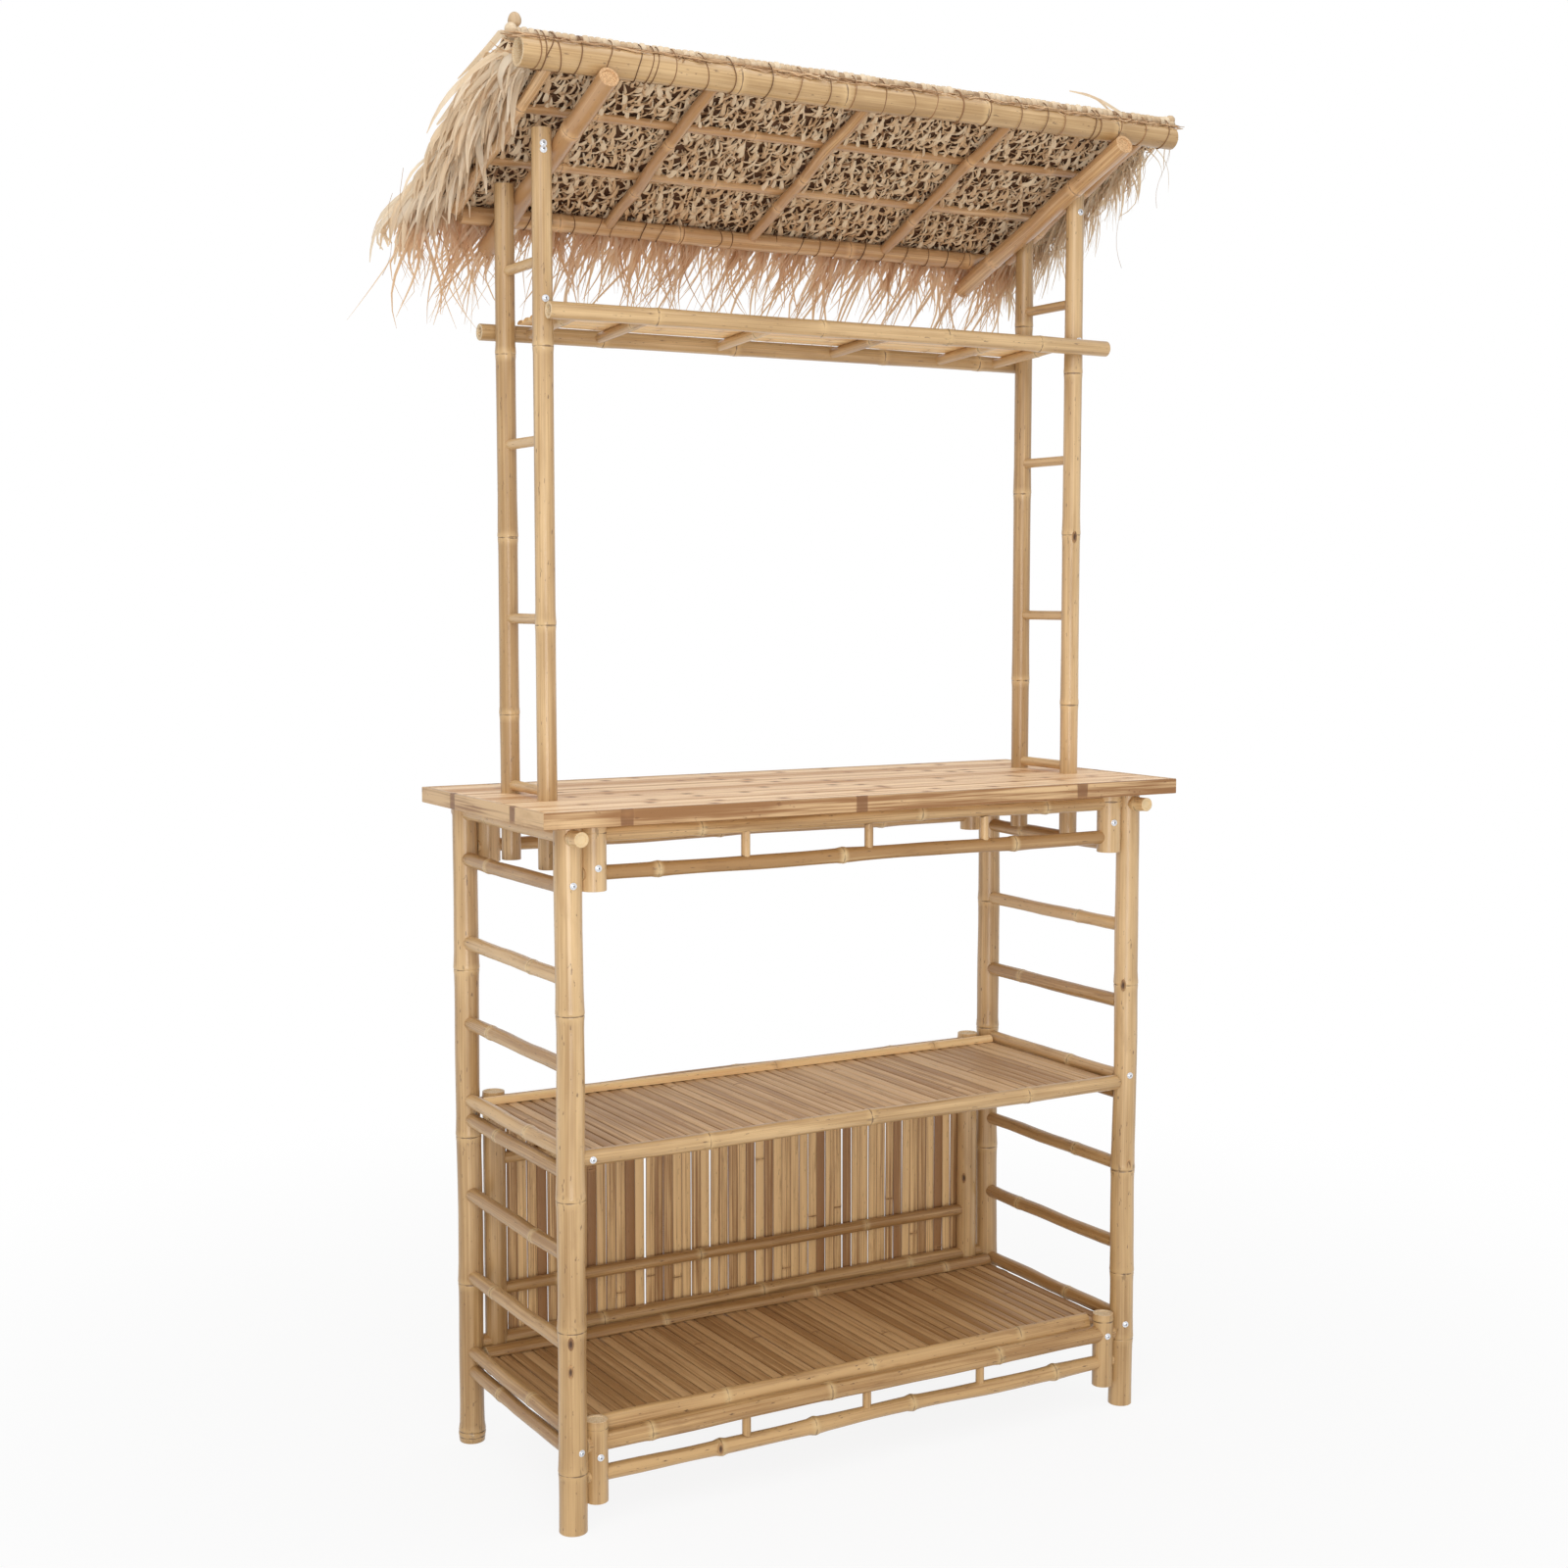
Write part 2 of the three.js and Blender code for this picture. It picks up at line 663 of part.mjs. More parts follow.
function addBackPanel(group) {
  const posts = panelPosts().map((post) => culm(post));
  const rail = (height, half, radius) => culm(railSpec(legY, height, half, radius, 0, []));
  const rearLegs = leftRight.map(([side]) => culm(legSpec("rear", side), fitGap));
  const longRails = [panelTopRailHeight, panelBottomRailHeight].map((height) =>
    cut(rail(height, legX, panelRailRadius), rearLegs),
  );
  const shortRails = panelThinRailShares.map((share) => {
    const height = THREE.MathUtils.lerp(panelBottomRailHeight, panelTopRailHeight, share);
    return rail(height, panelPostX, panelThinRailRadius);
  });
  const half = panelPostX - panelSlatLap;
  const front = legY + panelRailRadius + fitGap;
  const outline = stripOutline(
    -half, half, front + panelSlatThickness, front, panelSlatCount, panelGrooveWidth, panelGrooveDepth,
  );
  const low = panelBottomRailHeight - panelSlatReach;
  const high = panelTopRailHeight + panelSlatReach;
  const place = new THREE.Matrix4().makeTranslation(0, 0, low);
  const slats = extrudedSolid(outline, high - low, place);
  const panel = fuse([...posts, ...longRails, ...shortRails, slats]);
  addPiece(group, "back_panel", panel, finishes.panel);
}

// Uprights: each stands inside the side rungs, through the counter, and ends just under the level of
// the thin rafters. The rungs between a side's two uprights are fixed in the rear one and hollowed to
// fit round the front one.

const uprightRungHeights = [
  counterHeight + uprightRungRise,
  ...uprightRungShares.map((share) => counterHeight + share * ridgeRise),
];
const shelfFrontHeight = counterHeight + shelfHeightShare * ridgeRise;
const uprightFoot = counterUnderside - uprightFootDrop;
const uprightJoints = [uprightFoot, ...uprightRungHeights.slice(0, 3), shelfFrontHeight];
const uprightRingShares = { front: [1.5, 2.55, 3.35], rear: [1.3, 2.4, 3.4] };

function uprightSpec(end, side) {
  const x = side === "left" ? -uprightX : uprightX;
  const y = end === "front" ? -uprightY : uprightY;
  const rafterLevel = roofTopZ - (y - roofTopY) * Math.tan(roofPitch);
  const rafterDrop = (thinRafterRadius + fitGap) / Math.cos(roofPitch);
  const top = rafterLevel - rafterDrop - uprightRadius * Math.tan(roofPitch);
  const rings = ringsBetween(uprightJoints, uprightRingShares[end]);
  const foot = new THREE.Vector3(x, y, uprightFoot);
  return pole(foot, new THREE.Vector3(x, y, top), uprightRadius, thickSides, thinRingSwell, rings);
}

function uprightSpecs() {
  return ["front", "rear"].flatMap((end) => leftRight.map(([side]) => uprightSpec(end, side)));
}

function addUprights(group) {
  for (const [side] of leftRight) {
    const front = uprightSpec("front", side);
    const rear = uprightSpec("rear", side);
    const rungs = uprightRungHeights.map((height) => {
      const from = new THREE.Vector3(front.from.x, -uprightY, height);
      const to = new THREE.Vector3(front.from.x, uprightY, height);
      const rung = pole(from, to, uprightRungRadius, thinSides, 0);
      return cut(culm(rung), [culm(front, fitGap)]);
    });
    addPiece(group, `upright_front_${side}`, culm(front), finishes.culm, polePlace(front));
    addPiece(group, `upright_rear_${side}`, fuse([culm(rear), ...rungs]), finishes.culm, polePlace(rear));
  }
}

// Upper shelf: a pole before the front uprights, one behind the rear uprights, and between them a
// deck of rungs with laths on top. Its group leans back by the fall from the front pole to the rear.

const shelfSpan = Math.hypot(2 * shelfPoleY, shelfFall);

function shelfPoleSpec(y, leftOverhang, rightOverhang, ringShares) {
  const left = -uprightX - leftOverhang;
  const right = uprightX + rightOverhang;
  const joints = [left, ...shelfRungShares.map((share) => share * uprightX), right];
  const rings = ringsBetween(joints, ringShares);
  const from = new THREE.Vector3(left, y, 0);
  return pole(from, new THREE.Vector3(right, y, 0), shelfPoleRadius, thickSides, thinRingSwell, rings);
}

function addUpperShelf(group) {
  const shelf = new THREE.Group();
  shelf.position.set(0, -shelfPoleY, shelfFrontHeight);
  shelf.rotation.x = -Math.atan2(shelfFall, 2 * shelfPoleY);
  group.add(shelf);
  const front = shelfPoleSpec(0, shelfFrontLeftOverhang, shelfFrontRightOverhang, shelfFrontRingShares);
  const rear = shelfPoleSpec(shelfSpan, shelfRearLeftOverhang, shelfRearRightOverhang, shelfRearRingShares);
  for (const [name, spec] of [["front", front], ["rear", rear]]) {
    const solid = cut(culm(spec), endBores(spec));
    addPiece(shelf, `upper_shelf_${name}_pole`, solid, finishes.culm, polePlace(spec));
  }
  const poles = [culm(front, fitGap), culm(rear, fitGap)];
  const rungs = shelfRungShares.map((share) => {
    const from = new THREE.Vector3(share * uprightX, 0, 0);
    const to = new THREE.Vector3(share * uprightX, shelfSpan, 0);
    return cut(culm(pole(from, to, shelfRungRadius, thinSides, 0)), poles);
  });
  const half = uprightX - uprightRadius - shelfLathEndGap;
  const margin = shelfPoleRadius + shelfLathMargin;
  const pitch = (shelfSpan - 2 * margin - shelfLathWidth) / (shelfLathCount - 1);
  const edge = shelfLathWidth / 2;
  const outline = [
    [-edge, 0],
    [edge, 0],
    [edge - shelfLathCrown, shelfLathThickness],
    [-edge + shelfLathCrown, shelfLathThickness],
  ];
  const laths = Array.from({ length: shelfLathCount }, (_, i) => {
    const place = alongX(-half, margin + edge + i * pitch, shelfRungRadius - sinkDepth);
    return extrudedSolid(outline, 2 * half, place);
  });
  addPiece(shelf, "upper_shelf_deck", fuse([...rungs, ...laths]), finishes.lath);
}

// Roof frame: a thick pole along the ridge and a thinner one along the eaves, five thin rafters
// between them, and a main rafter under each end, bolted beside the uprights.

const topPoleRingShares = [-1.5, -0.75, 0.25, 1.25];
const lowerPoleRingShares = [-1.25, -0.5, 0.75];

function topPoleSpec() {
  const from = new THREE.Vector3(-topPoleHalf, 0, 0);
  const to = new THREE.Vector3(topPoleHalf, 0, 0);
  const rings = topPoleRingShares.map((share) => topPoleHalf + share * thinRafterPitch);
  return pole(from, to, topPoleRadius, thickSides, thickRingSwell, rings);
}

function lowerPoleSpec() {
  const from = new THREE.Vector3(-lowerPoleLeftReach, roofRun, 0);
  const to = new THREE.Vector3(lowerPoleRightReach, roofRun, 0);
  const rings = lowerPoleRingShares.map((share) => lowerPoleLeftReach + share * thinRafterPitch);
  return pole(from, to, lowerPoleRadius, thinSides, thinRingSwell, rings);
}

// The slanting cut that leaves the eaves pole's right end like a pen nib.
function nibCutter() {
  const high = lowerPoleRadius + cutOverrun;
  const end = lowerPoleRightReach + cutOverrun;
  const outline = [
    [lowerPoleRightReach - lowerPoleNibRun, -high],
    [end, -high],
    [end, high],
  ];
  const place = new THREE.Matrix4().makeBasis(xAxis, zAxis, yAxis.clone().negate());
  place.setPosition(0, roofRun + high, 0);
  return extrudedSolid(outline, 2 * high, place);
}

function addRoofFrame(roof) {
  const top = topPoleSpec();
  const lower = lowerPoleSpec();
  addPiece(roof, "roof_top_pole", cut(culm(top), endBores(top)), finishes.culm, polePlace(top));
  addPiece(roof, "roof_lower_pole", cut(culm(lower), [nibCutter()]), finishes.culm, polePlace(lower));

  const topDrop = topPoleRadius + fitGap + mainRafterRadius;
  const lowDrop = lowerPoleRadius + fitGap + mainRafterRadius;
  const fall = (lowDrop - topDrop) / roofRun;
  for (const [side, sign] of leftRight) {
    const x = sign * mainRafterX;
    const low = roofRun + mainRafterLowReach;
    const from = new THREE.Vector3(x, -mainRafterTopReach, -topDrop + mainRafterTopReach * fall);
    const to = new THREE.Vector3(x, low, -topDrop - low * fall);
    const spec = pole(from, to, mainRafterRadius, thickSides, 0);
    addPiece(roof, `roof_main_rafter_${side}`, culm(spec), finishes.culm, polePlace(spec));
  }

  const poles = [culm(top, fitGap), culm(lower, fitGap)];
  thinRafterShares.forEach((share, i) => {
    const x = share * thinRafterPitch;
    const end = Math.abs(x) > lowerPoleRightReach ? roofRun * looseRafterShare : roofRun;
    const from = new THREE.Vector3(x, 0, 0);
    const spec = pole(from, new THREE.Vector3(x, end, 0), thinRafterRadius, thinSides, 0);
    addPiece(roof, `roof_thin_rafter_${i + 1}`, cut(culm(spec), poles), finishes.rung, polePlace(spec));
  });
}

// Thatch mat: a slab with a drooping eaves edge on two purlins, and the roll along its ridge, which
// joins the slab only past the ends of the ridge pole, so that the lashing passes between them.

const matBottom = thinRafterRadius + fitGap + purlinThickness;
const matTop = matBottom + matThickness;
const rollHeight = topPoleRadius + fitGap + rollRadius;
const droopStart = roofRun + matDroopRun;
const droopCentre = matBottom - matDroopRadius;

function droopPoint(radius, angle) {
  return [droopStart + radius * Math.sin(angle), droopCentre + radius * Math.cos(angle)];
}

function slabOutline() {
  const angles = Array.from({ length: matDroopSteps + 1 }, (_, i) => (matDroopAngle * i) / matDroopSteps);
  const below = angles.map((angle) => droopPoint(matDroopRadius, angle));
  const above = angles.map((angle) => droopPoint(matDroopRadius + matThickness, angle)).reverse();
  return [[topPoleRadius, matBottom], ...below, ...above, [topPoleRadius, matTop]];
}

// The lower and the higher end of a stretch that starts at the given distance on either side.
function stretch(sign, start, length) {
  return [sign * start, sign * (start + length)].sort((a, b) => a - b);
}

function addMat(roof) {
  const slab = extrudedSolid(slabOutline(), 2 * matHalf, alongX(-matHalf));
  const purlinHalf = topPoleHalf - purlinEndInset;
  const purlins = purlinShares.map((share) => {
    const middle = share * roofRun;
    const half = purlinWidth / 2;
    const low = matBottom - purlinThickness;
    const outline = [
      [middle - half / 2, low],
      [middle + half / 2, low],
      [middle + half, low + purlinThickness / 2],
      [middle + half, matBottom + sinkDepth],
      [middle - half, matBottom + sinkDepth],
      [middle - half, low + purlinThickness / 2],
    ];
    return extrudedSolid(outline, 2 * purlinHalf, alongX(-purlinHalf));
  });
  const knobFoot = topPoleHalf + fitGap;
  const rollFrom = new THREE.Vector3(-knobFoot - knobLength, 0, rollHeight);
  const rollTo = new THREE.Vector3(knobFoot + knobLength, 0, rollHeight);
  const ridge = [culm(pole(rollFrom, rollTo, rollRadius, rollSides, 0))];
  for (const [, sign] of leftRight) {
    const [left, right] = stretch(sign, knobFoot, knobLength);
    const from = new THREE.Vector3(left, 0, rollHeight);
    ridge.push(culm(pole(from, new THREE.Vector3(right, 0, rollHeight), knobRadius, rollSides, 0)));
    const [tieLeft, tieRight] = stretch(sign, knobFoot, ridgeTieWidth);
    const tieLow = new THREE.Vector3(tieLeft, 0, matBottom);
    const tieHigh = new THREE.Vector3(tieRight, topPoleRadius + sinkDepth, matTop - sinkDepth);
    ridge.push(boxSolid(tieLow, tieHigh));
  }
  const mat = cut(fuse([slab, ...purlins, ...ridge]), [culm(topPoleSpec(), fitGap)]);
  addPiece(roof, "thatch_mat", mat, finishes.thatch);
}

// Fringes: flat pointed leaves fused to a slice of the mat's edge. In a fringe's group, Y points away
// from the mat and Z stands off it. Leaves sway together, so that none crosses another.

// One leaf: a flat three-sided strip through the given points, in the YZ plane, narrowing to a tip.
function leafSolid(x, sway, points) {
  const sections = points.slice(0, -1).map(([, , widthShare]) => widthShare * (leafWidth / 2));
  const corners = [];
  const last = points.length - 1;
  points.slice(0, -1).forEach(([y, z], i) => {
    const shift = x + (sway * i) / last;
    corners.push(shift - sections[i], y, z, shift + sections[i], y, z, shift, y, z + leafThickness);
  });
  const [tipY, tipZ] = points[last];
  corners.push(x + sway, tipY, tipZ);
  const tip = 3 * last;
  const faces = [0, 1, 2];
  for (let i = 0; i < last - 1; i += 1) {
    for (const [a, b] of [[0, 1], [1, 2], [2, 0]]) {
      const here = 3 * i;
      const next = here + 3;
      faces.push(here + a, next + a, here + b, here + b, next + a, next + b);
    }
  }
  const end = 3 * (last - 1);
  faces.push(end, tip, end + 1, end + 1, tip, end + 2, end + 2, tip, end);
  const geometry = new THREE.BufferGeometry();
  geometry.setAttribute("position", new THREE.Float32BufferAttribute(corners, 3));
  geometry.setIndex(faces);
  return toSolid(geometry);
}

function fringe(count, half, leafPoints) {
  const slice = boxSolid(
    new THREE.Vector3(-half, fitGap, -matThickness / 2),
    new THREE.Vector3(half, fitGap + sliceThickness, matThickness / 2),
  );
  const pitch = (2 * half - leafWidth) / count;
  const leaves = Array.from({ length: count }, (_, i) => {
    const x = -half + leafWidth / 2 + (i + 1 / 2) * pitch;
    const along = x / half;
    const sway = leafSway * Math.sin(leafSwayWaves * along);
    const wave = Math.sin(leafLengthWaves * along) * Math.cos(leafSwayWaves * along);
    const row = (i % 2 === 0 ? -1 : 1) * leafRowOffset;
    const z = row - leafThickness / 2 + leafRowJitter * Math.sin(leafJitterTurn * i);
    return leafSolid(x, sway, leafPoints(z, wave, i % 2));
  });
  return fuse([slice, fuse(leaves)]);
}

// A leaf that hangs in two stretches from the eaves edge.
function rearLeafPoints(z, wave) {
  const root = fitGap + sliceThickness;
  const length = rearLeafLength + rearLeafLengthWave * wave;
  const first = length * rearLeafBendShare;
  const second = length - first;
  const kneeY = root + first * Math.cos(rearLeafFirstBend);
  const kneeZ = z - first * Math.sin(rearLeafFirstBend);
  return [
    [root - leafSink, z, 1],
    [kneeY, kneeZ, 1],
    [kneeY + second * Math.cos(rearLeafSecondBend), kneeZ - second * Math.sin(rearLeafSecondBend)],
  ];
}

// A leaf that sticks out of a gable edge, its row deciding how far it droops.
function gableLeafPoints(z, wave, row) {
  const root = fitGap + sliceThickness;
  const length = gableLeafLength + gableLeafLengthWave * wave;
  const droop = gableLeafDroop + (row === 0 ? gableLeafRowDroop : 0);
  return [
    [root - leafSink, z, 1],
    [root + length * Math.cos(droop), z - length * Math.sin(droop)],
  ];
}

function addFringes(roof) {
  const middle = matDroopRadius + matThickness / 2;
  const [rearY, rearZ] = droopPoint(middle, matDroopAngle);
  const rear = new THREE.Group();
  rear.position.set(0, rearY, rearZ);
  rear.rotation.x = -matDroopAngle;
  roof.add(rear);
  const rearSolid = fringe(rearLeafCount, matHalf - sliceEndInset, rearLeafPoints);
  addPiece(rear, "thatch_fringe_rear", rearSolid, finishes.leaf);

  const start = roofRun * gableStartShare;
  const half = (droopStart - start) / 2;
  for (const [side, sign] of leftRight) {
    const gable = new THREE.Group();
    gable.position.set(sign * matHalf, start + half, matBottom + matThickness / 2);
    gable.rotation.z = (-sign * Math.PI) / 2;
    roof.add(gable);
    const solid = fringe(gableLeafCount, half, gableLeafPoints);
    addPiece(gable, `thatch_fringe_${side}`, solid, finishes.leaf);
  }
}

// Lashings: the cord goes round in the plane of each loop, and moves on to the next loop where no
// rafter is in its way.

// A path through given points, straight between them.
class PointPath extends THREE.Curve {
  constructor(points) {
    super();
    this.points = points;
  }

  getPoint(t, target = new THREE.Vector3()) {
    const place = t * (this.points.length - 1);
    const i = Math.min(Math.floor(place), this.points.length - 2);
    return target.lerpVectors(this.points[i], this.points[i + 1], place - i);
  }

  getPointAt(t, target) {
    return this.getPoint(t, target);
  }

  getTangentAt(t, target = new THREE.Vector3()) {
    const step = 1 / (this.points.length - 1);
    const before = this.getPoint(Math.max(t - step, 0));
    const after = this.getPoint(Math.min(t + step, 1));
    return target.copy(after).sub(before).normalize();
  }
}

// A loop's section is a ring of [y, z, share of the way to the next loop].
function windingPoints(section, loops) {
  const points = [];
  for (let loop = 0; loop < loops; loop += 1) {
    const x = (loop - (loops - 1) / 2) * loopPitch;
    const isLast = loop === loops - 1;
    for (const [y, z, advance] of section) {
      if (isLast && advance > 0) break;
      points.push(new THREE.Vector3(x + advance * loopPitch, y, z));
    }
  }
  return points;
}

// The least distance between stretches of the cord that are half a loop or more apart.
function leastGap(points, loopLength, radius) {
  let least = Infinity;
  points.forEach((point, i) => {
    for (let j = i + Math.ceil(loopLength / 2); j < points.length; j += 1) {
      least = Math.min(least, point.distanceTo(points[j]));
    }
  });
  return least - 2 * radius;
}

function cordSolid(points, radius, sides) {
  const shape = new THREE.Shape();
  for (let i = 0; i < sides; i += 1) {
    const angle = (2 * Math.PI * i) / sides;
    const [x, y] = [radius * Math.cos(angle), radius * Math.sin(angle)];
    if (i === 0) shape.moveTo(x, y);
    else shape.lineTo(x, y);
  }
  const extrudePath = new PointPath(points);
  const steps = points.length - 1;
  return toSolid(new THREE.ExtrudeGeometry(shape, { steps, extrudePath, bevelEnabled: false }));
}

// Round the ridge pole and the roll above it: an arc under the pole, and an arc over the roll in
// which the cord moves on.
function topSection() {
  const poleArc = topPoleRadius + fitGap + topCordRadius;
  const rollArc = rollRadius + fitGap + topCordRadius;
  const lean = Math.acos((poleArc - rollArc) / rollHeight);
  const section = [];
  const under = 2 * (Math.PI - lean);
  const poleRadius = poleArc / Math.cos(under / topPoleSteps / 2);
  for (let i = 0; i <= topPoleSteps; i += 1) {
    const angle = lean + (under * i) / topPoleSteps;
    section.push([poleRadius * Math.sin(angle), poleRadius * Math.cos(angle), 0]);
  }
  const over = 2 * lean;
  const rollRadiusOut = rollArc / Math.cos(over / topRollSteps / 2);
  for (let i = 0; i <= topRollSteps; i += 1) {
    const angle = -lean + (over * i) / topRollSteps;
    const advance = (i + 1 / 2) / (topRollSteps + 1);
    section.push([rollRadiusOut * Math.sin(angle), rollHeight + rollRadiusOut * Math.cos(angle), advance]);
  }
  return section;
}

// Round the eaves pole, moving on at its outer side.
function lowerSection() {
  const radius = (lowerPoleRadius + fitGap + lowerCordRadius) / Math.cos(Math.PI / lowerPoleSteps);
  const still = lowerPoleSteps - lowerAdvanceSteps;
  const turn = (2 * Math.PI) / lowerPoleSteps;
  return Array.from({ length: lowerPoleSteps }, (_, i) => {
    const angle = (lowerAdvanceSteps / 2) * turn + i * turn;
    const advance = Math.max(0, (i - still) / lowerAdvanceSteps);
    return [roofRun + radius * Math.cos(angle), radius * Math.sin(angle), advance];
  });
}

function addLashings(roof) {
  for (const [name, section, loops, radius, sides] of [
    ["lashing_top", topSection(), topLoops, topCordRadius, topCordSides],
    ["lashing_lower", lowerSection(), lowerLoops, lowerCordRadius, lowerCordSides],
  ]) {
    const points = windingPoints(section, loops);
    const gap = leastGap(points, section.length, radius);
    console.log(`${name}: least gap to itself ${gap.toFixed(2)} mm`);
    addPiece(roof, name, cordSolid(points, radius, sides), finishes.cord);
  }
}

addLegs(root);
addSideRungs(root);
addCounter(root);
addAprons(root);
addFootRails(root);
addShelves(root);
addBackPanel(root);
addUprights(root);
addUpperShelf(root);

const roof = new THREE.Group();
roof.position.set(0, roofTopY, roofTopZ);
roof.rotation.x = -roofPitch;
root.add(roof);
addRoofFrame(roof);
addMat(roof);
addFringes(roof);
addLashings(roof);

// The origin is on the ground under the middle of the whole hut.
const hull = new THREE.Box3().setFromObject(root, true);
root.position.set(-(hull.min.x + hull.max.x) / 2, -(hull.min.y + hull.max.y) / 2, -hull.min.z);

export default root;
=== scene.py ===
"""The finished look of a bamboo bar hut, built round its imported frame.

The frame gives the places and lengths of the poles. This script gives each pole its round wall, nodes and
ends, each shelf its separate split strips, the roof its woven mat, leaves and cords, and every surface a
procedural finish. Lengths are in metres, X runs along the counter, Y to the rear and Z up. A radius is half
a pole's thickness, and half, in a field's name, is half a length.
"""

from __future__ import annotations

import logging
import math
from dataclasses import dataclass, field
from enum import Enum
from typing import Mapping, Sequence, Union

import bpy
import numpy as np
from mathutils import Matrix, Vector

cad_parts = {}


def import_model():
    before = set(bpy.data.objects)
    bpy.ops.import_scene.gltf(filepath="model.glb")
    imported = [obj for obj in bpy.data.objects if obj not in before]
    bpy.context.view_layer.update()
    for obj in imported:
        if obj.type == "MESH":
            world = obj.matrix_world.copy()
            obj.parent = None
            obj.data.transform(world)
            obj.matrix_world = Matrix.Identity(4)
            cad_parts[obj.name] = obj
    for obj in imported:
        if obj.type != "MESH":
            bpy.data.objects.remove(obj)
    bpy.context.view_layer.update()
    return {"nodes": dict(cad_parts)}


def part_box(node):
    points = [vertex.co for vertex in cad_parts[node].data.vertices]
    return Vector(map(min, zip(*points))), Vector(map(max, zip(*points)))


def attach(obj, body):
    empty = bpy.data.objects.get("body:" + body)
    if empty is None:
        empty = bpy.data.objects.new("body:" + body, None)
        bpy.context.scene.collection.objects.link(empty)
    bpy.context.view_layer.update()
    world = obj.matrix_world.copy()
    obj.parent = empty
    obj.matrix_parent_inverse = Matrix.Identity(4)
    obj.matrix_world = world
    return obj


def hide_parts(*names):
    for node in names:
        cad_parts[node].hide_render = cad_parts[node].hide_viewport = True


LOG = logging.getLogger("bar_hut")
TINY = 1e-9
FULL_TURN = 2 * math.pi
Array = np.ndarray
Colour = tuple[float, float, float, float]
Row = Sequence[float]
Pair = tuple[float, float]
Triple = tuple[float, float, float]

X_AXIS = np.array([1.0, 0.0, 0.0])
Y_AXIS = np.array([0.0, 1.0, 0.0])
Z_AXIS = np.array([0.0, 0.0, 1.0])
WHITE = (1.0, 1.0, 1.0, 1.0)
SMOOTH = 180.0  # degrees, an edge angle that leaves no edge sharp
ARCH = np.linspace(-1, 1, 5)  # steps of an arching strand, as shares from its middle
NODE_RINGS = np.array([-9, -5, -3.4, -2.4, -1.6, -0.8, 0, 1, 2.2, 4, 6, 9]) / 1000  # rings round a bamboo node


def unit(vectors: Array) -> Array:
    """The same directions with a length of one."""
    return vectors / np.maximum(np.linalg.norm(vectors, axis=-1, keepdims=True), TINY)


def paint(red: int, green: int, blue: int) -> Colour:
    """A linear colour from the three display values, each from 0 to 255."""
    shown = np.array([red, green, blue]) / 255
    linear = np.where(shown <= 0.04045, shown / 12.92, ((shown + 0.055) / 1.055) ** 2.4)
    return (*(float(value) for value in linear), 1.0)


# Surfaces


@dataclass
class Surface:
    """Points and four-cornered faces, with the values that a finish reads."""

    points: Array  # One row of X, Y, Z per point
    faces: Array  # Four point numbers per face, turning anticlockwise seen from outside
    unrolled: Array  # Each face corner's place on the unrolled surface, as a share of a turn and metres along
    values: dict[str, Array]  # One number per point under each name

    @staticmethod
    def joined(parts: Sequence["Surface"]) -> "Surface":
        """Puts several surfaces into one.

        Args:
            parts: The surfaces, which all carry the same named values.

        Returns:
            One surface with every point and face.
        """
        starts = np.cumsum([0] + [len(part.points) for part in parts[:-1]])
        return Surface(
            np.concatenate([part.points for part in parts]),
            np.concatenate([part.faces + start for part, start in zip(parts, starts)]),
            np.concatenate([part.unrolled for part in parts]),
            {name: np.concatenate([part.values[name] for part in parts]) for name in parts[0].values},
        )


